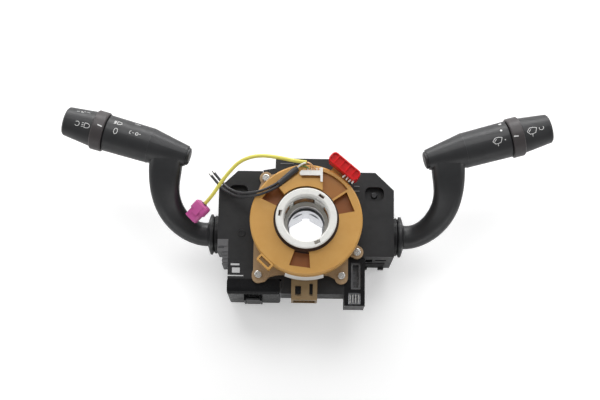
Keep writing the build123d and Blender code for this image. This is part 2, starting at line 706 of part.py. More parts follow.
def harness_connector():
    """Socket that hangs below the clock spring, open downwards, with two windows in front."""
    z1 = FRONT + STATOR_T
    body = block(SOCKET_X0, SOCKET_X1, SOCKET_BOTTOM, BAND_BOTTOM, SOCKET_BACK, z1)
    body += block(SOCKET_X0, SOCKET_X1, BAND_BOTTOM, -CAN_R - SEAT, FRONT, z1)
    body -= block(
        SOCKET_X0 + SOCKET_WALL, SOCKET_X1 - SOCKET_WALL, SOCKET_BOTTOM, BAND_BOTTOM - SOCKET_WALL,
        SOCKET_BACK + SOCKET_WALL, FRONT,
    )
    low = SOCKET_BOTTOM + 2 * SOCKET_WALL
    body -= block(SOCKET_X0 + 3.2, SOCKET_X0 + 8.0, low, -CAN_R - 7.0, FRONT - 0.5, z1)
    return body - block(SOCKET_X1 - 6.4, SOCKET_X1 - 3.6, low, -CAN_R - 5.0, FRONT - 0.5, z1)


def harness_pins():
    """Two rows of blades in the socket."""
    pins = []
    for i in range(BLADE_N):
        x = SOCKET_X0 + 2 * SOCKET_WALL + BLADE_PITCH * i
        for z in (SOCKET_BACK + 2 * SOCKET_WALL, FRONT - 2 * SOCKET_WALL):
            pins.append(block(x, x + BLADE_W, SOCKET_BOTTOM + 1.2, BAND_BOTTOM - SOCKET_WALL, z, z + BLADE_T))
    return Compound(pins)


# ---- clock spring, turning half ----
def hub():
    z0 = FRONT + 0.5
    seat_top = HUB_FRONT - 1.0
    bore = HUB_BORE - 0.5
    body = turned([
        (HUB_LEDGE_R, z0), (HUB_TUBE_R, z0), (HUB_TUBE_R, HUB_FRONT - HUB_FLANGE_T),
        (HUB_R - 0.8, HUB_FRONT - HUB_FLANGE_T), (HUB_R, HUB_FRONT - HUB_FLANGE_T + 0.8),
        (HUB_R, HUB_FRONT - 0.8), (HUB_R - 0.8, HUB_FRONT), (HUB_BORE + 1.0, HUB_FRONT),
        (HUB_BORE, seat_top), (HUB_BORE, seat_top - HUB_SEAT_L), (bore, seat_top - HUB_SEAT_L),
        (bore, z0 + HUB_LEDGE_T), (HUB_LEDGE_R, z0 + HUB_LEDGE_T),
    ])
    for angle, width in HUB_WINDOWS:
        cut = block(HUB_BORE / 2, HUB_R, -width / 2, width / 2, WINDOW_Z0, WINDOW_Z1)
        body -= Rot(0, 0, angle) * cut
    for angle in HUB_SLOTS:
        middle = (HUB_R + HUB_BORE) / 2 - 0.3
        slot = Pos(middle, 0, HUB_FRONT) * Box(HUB_SLOT_W, HUB_SLOT_L, 2 * HUB_SLOT_DEPTH)
        body -= Rot(0, 0, angle) * slot
    return body


def cancel_cam():
    z1 = FRONT + 0.5
    z0 = z1 - 8
    body = rod(21.0, z0, z1)
    for angle in (0, 180):
        x, y = polar(20.0, angle)
        body += rod(4.0, z0, z0 + 4, x, y)
    return body - rod(HUB_LEDGE_R + 0.4, z0, z1)


def rotor_cover():
    z1 = DISC_FRONT
    z0 = z1 - DISC_T
    skirt = z0 - CAN_GAP - SKIRT_L
    bore = HUB_TUBE_R + SEAT
    body = turned([
        (bore, z0), (CAN_R + GAP, z0), (CAN_R + GAP, skirt), (DISC_R, skirt), (DISC_R, z1 - 1.2),
        (DISC_R - 1.2, z1), (GROOVE_R, z1), (GROOVE_R, z1 - GROOVE_DEPTH), (bore, z1 - GROOVE_DEPTH),
    ])
    body -= sunk_floor()
    for i in range(POCKET_N):
        body -= Rot(0, 0, POCKET_ANGLE + i * 360 / POCKET_N) * pocket()
    return body + connector_deck() + lock_ear(skirt) + rim_eye(z0)


def pocket():
    """Wedge-shaped pocket on the +X side, open to the groove round the hub."""
    r0 = GROOVE_R - 0.5
    shape = [(r0, -POCKET_W0 / 2), (POCKET_R1, -POCKET_W1 / 2), (POCKET_R1, POCKET_W1 / 2), (r0, POCKET_W0 / 2)]
    return prism(shape, DISC_FRONT - POCKET_DEPTH, DISC_FRONT)


def sunk_floor():
    """Lower floor between the deck and the ridge of the next pocket."""
    angle = radians(POCKET_ANGLE + 360 / POCKET_N)
    ridge = POCKET_W0 / 2 + 1.6, POCKET_W1 / 2 + 1.6
    corners = [(GROOVE_R - 1, ridge[0]), (SUNK_R, ridge[1] + 0.6)]
    near, far = [(r * cos(angle) - w * sin(angle), r * sin(angle) + w * cos(angle)) for r, w in corners]
    shape = [(DECK_X1, near[1]), near, far, (far[0], CAN_R), (DECK_X1, CAN_R)]
    z0 = DISC_FRONT - SUNK_DEPTH
    return prism(shape, z0, DISC_FRONT) & rod(SUNK_R, z0, DISC_FRONT)


def rim_eye(z0):
    """Slotted eye on the rim, at the lower left."""
    eye = block(-EYE_L / 2, EYE_L / 2, -EYE_W / 2, EYE_W / 2, z0, DISC_FRONT)
    eye = fillet(eye.edges().filter_by(Axis.Z), 1.0)
    eye -= block(-EYE_SLOT_L / 2, EYE_SLOT_L / 2, -EYE_SLOT_W / 2, EYE_SLOT_W / 2, z0, DISC_FRONT)
    x, y = polar(EYE_R, EYE_ANGLE)
    return Pos(x, y, 0) * (Rot(0, 0, EYE_ANGLE + 90) * eye)


def lock_ear(z0):
    """Ear under the transport lock, with the slot for its tongue."""
    ear = block(CAN_R + 1, LOCK_R + LOCK_W / 2 - 1, -TONGUE_L / 2 - 2, TONGUE_L / 2 + 2, z0, LOCK_Z - SEAT)
    slot = LOCK_PLACE * Box(TONGUE_L + 2 * RUN, TONGUE_W + 2 * RUN, 4 * LOCK_Z)
    return Rot(0, 0, LOCK_ANGLE) * ear - slot


def connector_deck():
    """Raised deck by the hub, the lower shelf behind it kept inside the rim, and the yellow lead's saddle."""
    z1 = DISC_FRONT
    z0 = z1 - SUNK_DEPTH
    deck = prism(
        [(DECK_X0, DECK_Y0), (-7.4, 36.0), (BAR_X0, DECK_Y1), (DECK_X1, DECK_Y1), (DECK_X1, 20), (-17.9, 19.6)],
        z0, z1 + DECK_H,
    )
    slot_y = DECK_Y1 - BAR_W
    slot = block(BAR_X0 + 1.4, DECK_X1 - CARRIER_WALL, slot_y - BAR_SLOT_W, slot_y, 0, BAR_SLOT_DEPTH)
    deck -= Pos(0, 0, z1 + DECK_H - BAR_SLOT_DEPTH) * slot
    shelf = [(DECK_X0, DECK_Y0), (DECK_X1, DECK_Y0), (DECK_X1, CAN_R), (-8.0, CAN_R), (-20, 38)]
    shelf = prism(shelf, z0, z1 + SHELF_H) & rod(DISC_R - 1.4, z0, z1 + SHELF_H)
    x, y, z = YELLOW[0]
    saddle = block(x - 3.0, x, DECK_Y1 + 1, y + YELLOW_R / 2, z1 + SHELF_H - 1, z - YELLOW_R)
    return deck + shelf + saddle - rod(GROOVE_R, z0, z1 + DECK_H)


def lead_socket():
    """White carrier: a bar on the deck, a wall at its right end, and a floor behind for the contacts."""
    deck_top, shelf_top = DISC_FRONT + DECK_H, DISC_FRONT + SHELF_H
    z1 = deck_top + BAR_H
    bar = block(BAR_X0, DECK_X1, DECK_Y1 - BAR_W, DECK_Y1, deck_top, z1)
    body = fillet(bar.edges().filter_by(Axis.Z).group_by(Axis.X)[0], 1.2)
    body += block(DECK_X1 - CARRIER_WALL, DECK_X1, DECK_Y1 - 8.4, DECK_Y1, deck_top, z1)
    body += block(CONTACT_X0 - 1, DECK_X1, DECK_Y1, DECK_Y1 + 3.6, shelf_top, shelf_top + CARRIER_T)
    body += block(BAR_X0 + 1, DECK_X1, DECK_Y1, DECK_Y1 + 0.8, shelf_top, z1)
    return body + block(DECK_X1 - CARRIER_WALL, DECK_X1, DECK_Y1, DECK_Y1 + 3.2, shelf_top, z1)


def lead_contacts():
    """Forked blades in a row, on the carrier's floor."""
    z0 = DISC_FRONT + SHELF_H + CARRIER_T
    z1 = DISC_FRONT + DECK_H + BAR_H - GAP
    y0, y1 = DECK_Y1 + 0.8 + SEAT, DECK_Y1 + 3.4
    third = CONTACT_W / 3
    blade = block(0, CONTACT_W, y0, y1, z0, z1) - block(third, 2 * third, y0 + third, y1, z0 + 1, z1)
    pitch = (DECK_X1 - CARRIER_WALL - CONTACT_X0) / CONTACT_N
    return Compound([Pos(CONTACT_X0 + pitch * i, 0, 0) * blade for i in range(CONTACT_N)])


def cord(points, radius):
    """Round cord along straight runs joined by the largest tangent arcs they allow."""
    pts = [Vector(*p) for p in points]
    radii = []
    for a, b, c in zip(pts, pts[1:], pts[2:]):
        turn = (b - a).get_angle(c - b)
        run = min((b - a).length, (c - b).length)
        radii.append(0.45 * run / tan(radians(turn / 2)))
    path = FilletPolyline(*pts, radius=radii)
    start = Plane(origin=pts[0], z_dir=pts[1] - pts[0])
    tube = sweep(start * Circle(radius), path=path)
    print("cord", round(path.length, 1), "mm, least radius", round(min(radii), 1), "of", [round(r) for r in radii])
    print("  volume", round(tube.volume), "section x length", round(3.14159 * radius ** 2 * path.length))
    return tube


# routes of the leads, from the socket to the free end
YELLOW = [
    (-0.5, 45.6, 94.3), (-10.0, 46.4, 94.9), (-21.2, 49.0, 94.0), (-34.2, 51.3, 92.0), (-45.1, 51.0, 89.0),
    (-55.6, 47.2, 85.8), (-64.2, 38.4, 82.2), (-71.6, 29.0, 78.6), (-77.6, 20.0, 75.6), (-83.6, 13.9, 73.2),
]
SLEEVE = [(-7.6, 41.0, 92.0), (-11.8, 37.9, 92.0), (-16.5, 33.4, 91.9), (-22.6, 27.9, 91.9)]
WIRE_A = [
    (-22.0, 29.6, 91.3), (-33.4, 22.9, 91.2), (-43.9, 21.0, 88.4), (-54.0, 22.2, 79.4), (-63.5, 27.2, 71.8),
    (-70.3, 34.0, 67.8), (-76.4, 41.6, 67.6),
]
WIRE_B = [
    (-21.0, 27.4, 91.0), (-33.0, 20.4, 90.9), (-43.6, 18.3, 87.8), (-54.4, 19.6, 78.2), (-64.7, 24.7, 70.4),
    (-72.4, 31.7, 67.0), (-78.9, 39.6, 67.0),
]
YELLOW_R = 1.5
SLEEVE_CORD_R = 2.4
WIRE_R = 1.1
TIP_L = 2.6


def yellow_lead():
    return cord(YELLOW, YELLOW_R)


def black_sleeve():
    return cord(SLEEVE, SLEEVE_CORD_R)


def black_wire(points):
    return cord(points, WIRE_R)


def end_plane(points):
    """Plane at the end of a route, facing along its last run."""
    return Plane(origin=points[-1], x_dir=(0, 0, 1), z_dir=Vector(*points[-1]) - Vector(*points[-2]))


def wire_tips():
    """Crimped sleeves on the two bare ends."""
    tips = [end_plane(points).location * rod(WIRE_R - 0.1, 0, TIP_L) for points in (WIRE_A, WIRE_B)]
    return Compound(tips)


def airbag_plug():
    """Plug on the yellow lead, made along Z with its lead entry at z = 0."""
    body = Pos(0, 0, 8) * Box(9.0, 11.0, 16.0)
    body = chamfer(body.edges().filter_by(Axis.Z), 1.4)
    body -= Pos(0, 0, 16) * Box(5.4, 7.4, 8.0)
    body += Pos(5.2, 0, 6) * Box(1.6, 5.0, 9.0)
    return end_plane(YELLOW).location * body


def transport_lock():
    """Grip that stands on the turning cover's ear, with a tongue down through it, short of the screw heads."""
    grip = fillet(Box(LOCK_L, LOCK_W, LOCK_H).edges().filter_by(Axis.Z), LOCK_W / 2 - 1.4)
    grip = fillet(grip.edges().group_by(Axis.Z)[-1], 0.8)
    dish = fillet(Box(LOCK_L - 2 * LOCK_RIM, LOCK_W - 2 * LOCK_RIM, 2 * LOCK_DISH).edges().filter_by(Axis.Z), 2.0)
    grip -= Pos(0, 0, LOCK_H / 2) * dish
    step = LOCK_L / (LOCK_RIB_N + 1)
    for i in range(LOCK_RIB_N):
        rib = Box(LOCK_RIM, LOCK_W - LOCK_RIM, LOCK_DISH)
        grip += Pos(-LOCK_L / 2 + step * (i + 1), 0, (LOCK_H - LOCK_DISH) / 2 - 0.4) * rib
    tongue_end = FRONT + STATOR_T + SCREW_HEAD_H + 2 * GAP
    tongue = block(-TONGUE_L / 2, TONGUE_L / 2, -TONGUE_W / 2, TONGUE_W / 2, tongue_end, LOCK_Z + 1)
    return LOCK_PLACE * (Pos(0, 0, LOCK_Z + LOCK_H / 2) * grip + tongue)


# ---- lower connectors ----
def lighting_connector():
    """Shroud for the lighting plug, open at the back, with its lower front edge rounded."""
    y0, y1 = PLUG_BOTTOM, CORE_BOTTOM
    body = block(PLUG_X0, PLUG_X1, y0, y1, MODULE_BACK, FRONT)
    body = fillet(body.edges().filter_by(Axis.Z), PLUG_WALL - 0.2)
    body -= front_round(PLUG_X0, PLUG_X1, y0)
    body -= block(
        PLUG_X0 + PLUG_WALL, PLUG_X1 - PLUG_WALL, y0 + PLUG_WALL, y1 - PLUG_WALL, MODULE_BACK, FRONT - PLUG_FLOOR
    )
    for x in (LATCH_X0 - LATCH_CHEEK, LATCH_X1):
        cheek = block(x, x + LATCH_CHEEK, y0 - LATCH_OUT - LATCH_CHEEK, y0 + 1, LATCH_Z - 12, LATCH_Z + 12)
        body += cheek
    pin_hole = Rot(0, 90, 0) * Cylinder(LATCH_PIN_R + RUN, LATCH_X1 - LATCH_X0 + 4)
    return body - Pos((LATCH_X0 + LATCH_X1) / 2, y0 - LATCH_OUT, LATCH_Z) * pin_hole


def front_round(x0, x1, y0):
    """Waste that leaves a round of PLUG_ROUND on the front edge along X at y0."""
    corner = block(x0 - 1, x1 + 1, y0 - 1, y0 + PLUG_ROUND, FRONT - PLUG_ROUND, FRONT + 1)
    roll = Rot(0, 90, 0) * Cylinder(PLUG_ROUND, x1 - x0 + 4)
    return corner - Pos((x0 + x1) / 2, y0 + PLUG_ROUND, FRONT - PLUG_ROUND) * roll


def lighting_pins():
    """Two rows of blades in the shroud."""
    pins = []
    rows = PLUG_BOTTOM + 2 * PLUG_WALL + 0.2, CORE_BOTTOM - 2 * PLUG_WALL - 0.2
    for i in range(PIN_N):
        x = PLUG_X0 + 5.5 + i * PIN_PITCH
        for y in rows:
            pins.append(block(x, x + 1.5, y - 0.35, y + 0.35, MODULE_BACK + 10, FRONT - PLUG_FLOOR))
    return Compound(pins)


def connector_latch():
    """Rocking latch on two stub pins between its cheeks."""
    x0, x1 = LATCH_X0 + GAP, LATCH_X1 - GAP
    back = PLUG_BOTTOM - LATCH_OUT
    body = block(x0, x1, back - 1.2, back + 1.2, 24, 52)
    body = chamfer(body.edges().filter_by(Axis.X).group_by(Axis.Z)[-1], 1.0)
    pins = Cylinder(LATCH_PIN_R, LATCH_X1 - LATCH_X0 + 3.2)
    return body + Pos((x0 + x1) / 2, back, LATCH_Z) * (Rot(0, 90, 0) * pins)


def retaining_tab():
    return block(PLUG_X1, PLUG_X1 + 1.3, PLUG_BOTTOM + 1.0, CORE_BOTTOM - 1.5, 30, 60)


def bracket_outline(inset=0.0):
    x0, x1 = BAND_X1 + inset, BRACKET_X1 - inset
    return [
        (CORE_X + inset, BRACKET_TOP - inset), (x1, BRACKET_TOP - inset), (x1, BRACKET_BOTTOM + inset),
        (x0, BRACKET_BOTTOM + inset), (x0, CORE_BOTTOM - inset), (CORE_X + inset, CORE_BOTTOM - inset),
    ]


def upper_window(z0, z1, inset=0.0):
    """Room for the wiper connector in the bracket."""
    x0, x1 = CORE_X + BRACKET_WALL + inset, BRACKET_X1 - BRACKET_SIDE - inset
    return block(x0, x1, BRIDGE_Y1 + inset, BRACKET_TOP - BRACKET_SIDE - inset, z0, z1)


def lower_window(z0, z1, inset=0.0):
    """Room for the metal shield in the bracket."""
    x0, x1 = BAND_X1 + BRACKET_SIDE + inset, BRACKET_X1 - BRACKET_SIDE - inset
    return block(x0, x1, BRACKET_BOTTOM + BRACKET_WALL + inset, BRIDGE_Y0 - inset, z0, z1)


def wiper_bracket():
    """Open frame that carries the wiper connector."""
    body = prism(bracket_outline(), BRACKET_BACK, FRONT)
    floor = BRACKET_BACK + BRACKET_WALL
    return body - upper_window(floor, FRONT) - lower_window(floor, FRONT)


def wiper_connector():
    floor = BRACKET_BACK + BRACKET_WALL
    return upper_window(floor, CONNECTOR_Z) - upper_window(CONNECTOR_Z - 7, CONNECTOR_Z, inset=2 * SHIELD_T)


def wiper_shield():
    """Folded metal box round the contacts."""
    floor = BRACKET_BACK + BRACKET_WALL
    return lower_window(floor, SHIELD_Z) - lower_window(floor + 4, SHIELD_Z, inset=SHIELD_T)


def edge_connector():
    """Ribbed and stepped block on the outer edge of the left module, with a lip over its case."""
    body = block(-MOD_X, -FLANGE_X, EDGE_BOTTOM, LEFT_FOOT, EDGE_BACK, FRONT)
    body += block(-MOD_X, -FLANGE_X, LEFT_FOOT, LEFT_STEP_Y, FRONT - COVER_T, FRONT)
    body -= block(-MOD_X - 1, -MOD_X + EDGE_STEP, EDGE_BOTTOM - 1, EDGE_STEP_Y, EDGE_BACK - 1, FRONT + 1)
    pitch = (EDGE_STEP_Y - EDGE_BOTTOM) / EDGE_RIBS
    for i in range(EDGE_RIBS):
        y = EDGE_STEP_Y - pitch * (i + 0.4)
        body -= block(-MOD_X - 1, -MOD_X + EDGE_STEP + EDGE_GROOVE, y - EDGE_GROOVE, y, EDGE_BACK - 1, FRONT + 1)
    return body


def build():
    nodes = {
        "centre_housing": centre_housing(),
        "rear_cover": rear_cover(),
        "column_sleeve": column_sleeve(),
        "sleeve_screws": sleeve_screws(),
        "right_switch_case": right_switch_case(),
        "left_switch_case": left_switch_case(),
        "right_switch_cover": right_switch_cover(),
        "left_switch_cover": left_switch_cover(),
        "cover_screws": cover_screws(),
        "lighting_connector": lighting_connector(),
        "lighting_pins": lighting_pins(),
        "connector_latch": connector_latch(),
        "retaining_tab": retaining_tab(),
        "wiper_bracket": wiper_bracket(),
        "wiper_connector": wiper_connector(),
        "wiper_shield": wiper_shield(),
        "edge_connector": edge_connector(),
        "clock_spring_base": clock_spring_base(),
        "base_screws": base_screws(),
        "ribbon_tape": ribbon_tape(),
        "rating_label": rating_label(),
        "harness_connector": harness_connector(),
        "harness_pins": harness_pins(),
        "hub": hub(),
        "cancel_cam": cancel_cam(),
        "rotor_cover": rotor_cover(),
        "lead_socket": lead_socket(),
        "lead_contacts": lead_contacts(),
        "yellow_lead": yellow_lead(),
        "black_sleeve": black_sleeve(),
        "black_wire_a": black_wire(WIRE_A),
        "black_wire_b": black_wire(WIRE_B),
        "wire_tips": wire_tips(),
        "airbag_plug": airbag_plug(),
        "transport_lock": transport_lock(),
    }
    sided = {
        "contact_board": contact_board(),
        "pivot_pin": pivot_pin(),
        "pivot_block": pivot_block(),
        "lever_fork": lever_fork(),
        "detent_plunger": detent_plunger(),
        "dust_collar": dust_collar(),
        "arm": arm(),
        "head_cap": head_cap(),
        "barrel": barrel(),
        "spindle": spindle(),
        "ring": ring(),
        "knob": knob(),
    }
    for name, solid in sided.items():
        nodes["right_" + name] = solid
        nodes["left_" + name] = left(solid)
    return nodes


os.makedirs("parts", exist_ok=True)
for name, solid in build().items():
    export_step(solid, f"parts/{name}.step")
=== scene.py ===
import json
import math

import bpy
from mathutils import Matrix, Vector


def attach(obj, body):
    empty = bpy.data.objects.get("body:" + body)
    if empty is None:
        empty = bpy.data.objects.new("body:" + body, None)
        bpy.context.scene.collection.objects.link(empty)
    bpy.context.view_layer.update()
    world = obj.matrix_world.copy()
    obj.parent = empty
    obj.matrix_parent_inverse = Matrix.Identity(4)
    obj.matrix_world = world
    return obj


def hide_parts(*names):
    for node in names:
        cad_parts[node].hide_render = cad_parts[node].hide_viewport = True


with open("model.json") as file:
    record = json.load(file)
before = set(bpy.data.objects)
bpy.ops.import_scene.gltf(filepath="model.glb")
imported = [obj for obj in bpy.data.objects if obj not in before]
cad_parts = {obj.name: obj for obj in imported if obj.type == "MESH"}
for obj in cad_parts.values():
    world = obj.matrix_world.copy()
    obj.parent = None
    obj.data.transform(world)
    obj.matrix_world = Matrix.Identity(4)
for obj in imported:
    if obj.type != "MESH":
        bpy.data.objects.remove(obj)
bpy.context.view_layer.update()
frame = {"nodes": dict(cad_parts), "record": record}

MM = 0.001                # the frame is in metres; places are in millimetres, angles in degrees

# ---- places shared with the CAD model ----
HUB_FRONT = 94.0
HUB_WALL_R = 18.2         # inside of the hub, where its windows open
HUB_WINDOWS = [(97.0, 17.5), (148.0, 7.0), (16.0, 15.5)]   # angle and width
WINDOW_Z = (67.5, 83.5)
DISC_FRONT = 87.0         # front of the clock spring's turning cover
DISC_WALL_R = 43.0        # its pockets lie inside this radius
GROOVE_R = 27.0           # and the groove round the hub, dark with painted shade, lies inside this one
FRONT = 62.0              # front of the switch cases
PIVOT = (55.5, -4.4, 37.0)            # right lever's pivot
POD_ORIGIN = (128.1, 60.5, 82.0)      # start of the right pod's axis
POD_TILT = 15.8           # angle by which that axis rises outwards
BARREL_L = 38.2
BARREL_R = (14.5, 15.0)   # at the start and the end of the barrel
RING_R = 16.4
KNOB_SPAN = (48.8, 72.2)  # along the pod's axis
KNOB_R = (14.7, 12.0)
LOCK_PLACE = (30.5, 43.4)
LOCK_TURN = -40.0
LOCK_HALF_W = 4.8

# routes of the leads, from the socket to the free end
YELLOW = [
    (-0.5, 45.6, 94.3), (-10.0, 46.4, 94.9), (-21.2, 49.0, 94.0), (-34.2, 51.3, 92.0),
    (-45.1, 51.0, 89.0), (-55.6, 47.2, 85.8), (-64.2, 38.4, 82.2), (-71.6, 29.0, 78.6),
    (-77.6, 20.0, 75.6), (-83.6, 13.9, 73.2),
]
SLEEVE = [(-7.6, 41.0, 92.0), (-11.8, 37.9, 92.0), (-16.5, 33.4, 91.9), (-22.6, 27.9, 91.9)]
WIRE_A = [
    (-22.0, 29.6, 91.3), (-33.4, 22.9, 91.2), (-43.9, 21.0, 88.4), (-54.0, 22.2, 79.4),
    (-63.5, 27.2, 71.8), (-70.3, 34.0, 67.8), (-76.4, 41.6, 67.6),
]
WIRE_B = [
    (-21.0, 27.4, 91.0), (-33.0, 20.4, 90.9), (-43.6, 18.3, 87.8), (-54.4, 19.6, 78.2),
    (-64.7, 24.7, 70.4), (-72.4, 31.7, 67.0), (-78.9, 39.6, 67.0),
]
YELLOW_R = 1.5
SLEEVE_R = 2.4
WIRE_R = 1.1

# short tails between the leads and the contacts, too short to count as cords
COPPER_TAIL = [
    (-0.9, 45.4, 94.6), (1.2, 45.2, 95.0), (4.2, 43.4, 94.6), (5.8, 41.4, 93.4),
    (5.8, 40.6, 92.6),
]
COPPER_STRAND = [(-0.9, 45.8, 94.1), (2.0, 44.6, 94.2), (3.2, 42.6, 93.9), (3.0, 40.8, 92.8)]
GREEN_TAIL = [
    (-8.2, 41.6, 92.4), (-5.2, 42.8, 93.4), (-1.6, 42.5, 93.8), (0.8, 41.4, 93.5),
    (2.0, 40.4, 92.6),
]
WHITE_TAIL = [(-8.2, 41.0, 92.8), (-6.2, 42.6, 94.6), (-3.6, 44.2, 95.6), (-1.2, 44.8, 95.4)]
TAIL_R = 0.55
STRAND_R = 0.8 * TAIL_R
WHITE_TAIL_R = 1.3 * TAIL_R

# paint on the pods
PRINT_LIFT = 0.05         # above the surface
PRINT_SUNK = 0.08         # below it
PRINT_WIDTH = 0.42
MARK_WIDTH = 0.9          # of a ring's index line
SEAM_WIDTH = 0.55
PRINT_STEP = 0.5          # longest straight run of a stroke

# ---- camera ----
CAMERA_TILT = 12.0
CAMERA_ROLL = 0.9
CAMERA_REACH = 1.0                    # metres in front of the hub
CAMERA_SHIFT = (-0.00504, 0.01416)    # metres to the right and upwards
CAMERA_LENS = 75
CAMERA_SENSOR = 36


def make_camera():
    """Camera in front of the hub, tilted down at it and rolled a little."""
    tilt = math.radians(CAMERA_TILT)
    roll = math.radians(CAMERA_ROLL)
    side = Vector((1, 0, 0))
    up = Vector((0, math.cos(tilt), math.sin(tilt)))
    look = Vector((0, math.sin(tilt), -math.cos(tilt)))
    right = side * math.cos(roll) + up * math.sin(roll)
    top = up * math.cos(roll) - side * math.sin(roll)
    hub = Vector((0, 0, HUB_FRONT * MM))
    data = bpy.data.cameras.new("camera")
    data.lens = CAMERA_LENS
    data.sensor_width = CAMERA_SENSOR
    camera = bpy.data.objects.new("camera", data)
    bpy.context.scene.collection.objects.link(camera)
    camera.matrix_world = Matrix((right, top, -look)).transposed().to_4x4()
    camera.location = hub + CAMERA_SHIFT[0] * right + CAMERA_SHIFT[1] * top - CAMERA_REACH * look
    bpy.context.scene.camera = camera


# ---- node trees ----
def node(tree, kind, inputs, **settings):
    """New node with its settings, such as an operation, and each input linked or given a value."""
    made = tree.nodes.new("ShaderNode" + kind)
    for key, value in settings.items():
        setattr(made, key, value)
    for key, value in inputs.items():
        if isinstance(value, bpy.types.NodeSocket):
            tree.links.new(value, made.inputs[key])
        else:
            made.inputs[key].default_value = value
    return made


def combine(tree, operation, a, b):
    """Output of a math node on two values."""
    return node(tree, "Math", {0: a, 1: b}, operation=operation).outputs[0]


def spread(tree, value, source, target):
    """Value mapped from one (low, high) range to another."""
    limits = dict(zip(("From Min", "From Max", "To Min", "To Max"), (*source, *target)))
    return node(tree, "MapRange", {"Value": value, **limits}).outputs["Result"]


def axis_place(tree):
    """Distance from the steering axis and height along it, in metres."""
    place = node(tree, "TexCoord", {}).outputs["Object"]
    split = node(tree, "SeparateXYZ", {0: place})
    flat = node(tree, "CombineXYZ", {"X": split.outputs["X"], "Y": split.outputs["Y"]})
    length = node(tree, "VectorMath", {0: flat.outputs[0]}, operation="LENGTH")
    return length.outputs["Value"], split.outputs["Z"]


def seen_directly(tree):
    """One for rays straight from the camera or through something clear, otherwise zero."""
    rays = node(tree, "LightPath", {}).outputs
    return combine(tree, "MAXIMUM", rays["Is Camera Ray"], rays["Is Transmission Ray"])


# ---- materials ----
PATCH_DETAIL = 3.0
GRAIN_DETAIL = 2.0
NOISE_ROUGHNESS = 0.6
COLOR_EDGES = (0.35, 0.65)    # noise over which one colour turns into the other
GLOSS_EDGES = (0.3, 0.7)      # noise over which the roughness swings
PATCHES = (90, 0.55)          # scale and share of the second colour on plastic
GLOSS = (160, 0.06)           # scale and swing of its roughness


class Shader:
    """A Principled material, with helpers that add patches, change of gloss and grain to it."""

    def __init__(self, name, color, roughness, metallic=0.0, specular=0.5):
        self.material = bpy.data.materials.new(name)
        self.material.use_nodes = True
        self.tree = self.material.node_tree
        self.bsdf = self.tree.nodes["Principled BSDF"]
        self.roughness = roughness
        self.put("Base Color", (*color, 1))
        self.put("Roughness", roughness)
        self.put("Metallic", metallic)
        self.put("Specular IOR Level", specular)

    def put(self, socket, value):
        self.bsdf.inputs[socket].default_value = value

    def link(self, value, socket):
        self.tree.links.new(value, self.bsdf.inputs[socket])

    def noise(self, scale, detail):
        place = node(self.tree, "TexCoord", {}).outputs["Object"]
        look = {"Vector": place, "Scale": scale, "Detail": detail, "Roughness": NOISE_ROUGHNESS}
        return node(self.tree, "TexNoise", look).outputs["Fac"]

    def blend(self, other, share):
        """Blend a share of another colour into what the base colour is by now."""
        base = self.bsdf.inputs["Base Color"]
        now = base.links[0].from_socket if base.links else base.default_value[:]
        colors = {"Factor": share, "A": now, "B": (*other, 1)}
        mix = node(self.tree, "Mix", colors, data_type="RGBA")
        self.link(mix.outputs["Result"], "Base Color")
        return self

    def vary_color(self, other, scale, share):
        """Blend in patches of another colour, up to a share of it."""
        noise = self.noise(scale, PATCH_DETAIL)
        return self.blend(other, spread(self.tree, noise, COLOR_EDGES, (0.0, share)))

    def tint_below(self, other, z_low, z_high, inside):
        """Blend in another colour under a level, within a radius of the steering axis."""
        distance, height = axis_place(self.tree)
        low = spread(self.tree, height, (z_low * MM, z_high * MM), (1.0, 0.0))
        within = combine(self.tree, "LESS_THAN", distance, inside * MM)
        return self.blend(other, combine(self.tree, "MULTIPLY", low, within))

    def vary_roughness(self, scale, swing):
        noise = self.noise(scale, PATCH_DETAIL)
        reach = (self.roughness - swing, self.roughness + swing)
        self.link(spread(self.tree, noise, GLOSS_EDGES, reach), "Roughness")
        return self

    def grain(self, scale, depth_mm):
        """Raise a fine grain, its depth in millimetres."""
        height = self.noise(scale, GRAIN_DETAIL)
        look = {"Height": height, "Strength": 1.0, "Distance": depth_mm * MM}
        self.link(node(self.tree, "Bump", look).outputs["Normal"], "Normal")
        return self


def moulded(name, color, patch, roughness, grain_mm=0.02, grain_scale=2200, specular=0.5):
    """Moulded plastic: eroded grain, a slight change of gloss, and patches of a second colour."""
    shader = Shader(name, color, roughness, specular=specular)
    shader.vary_color(patch, *PATCHES).vary_roughness(*GLOSS)
    return shader.grain(grain_scale, grain_mm).material


def metal(name, color, roughness):
    """Bare metal with slightly darker patches."""
    darker = tuple(c * 0.8 for c in color)
    shader = Shader(name, color, roughness, metallic=1.0)
    shader.vary_roughness(scale=900, swing=0.08).vary_color(darker, scale=220, share=0.5)
    return shader.grain(scale=1800, depth_mm=0.004).material


def tan_plastic(name):
    """Tan moulding, with red-brown painted shade down in its pockets and dark painted shade in the
    groove round the hub.
    """
    tan, paler = (0.51, 0.265, 0.058), (0.56, 0.31, 0.080)
    shaded_red_brown, painted_shade = (0.29, 0.085, 0.006), (0.05, 0.018, 0.006)
    shader = Shader(name, tan, roughness=0.38).vary_color(paler, *PATCHES)
    # painted shade: red-brown in the pockets and sunk floor, near black in the groove under the
    # hub's flange
    shader.tint_below(shaded_red_brown, DISC_FRONT - 3.6, DISC_FRONT - 0.4, inside=DISC_WALL_R)
    shader.tint_below(painted_shade, DISC_FRONT - 2.5, DISC_FRONT - 0.6, inside=GROOVE_R)
    return shader.vary_roughness(*GLOSS).grain(scale=1800, depth_mm=0.008).material


def window_brown(name):
    """Brown inside the hub's windows, streaked with painted shade."""
    brown, painted_shade = (0.42, 0.20, 0.05), (0.06, 0.03, 0.012)
    shader = Shader(name, brown, roughness=0.5, specular=0.08)
    # the dark patches are painted shade inside the windows
    return shader.vary_color(painted_shade, scale=210, share=0.9).grain(scale=1500, depth_mm=0.01).material


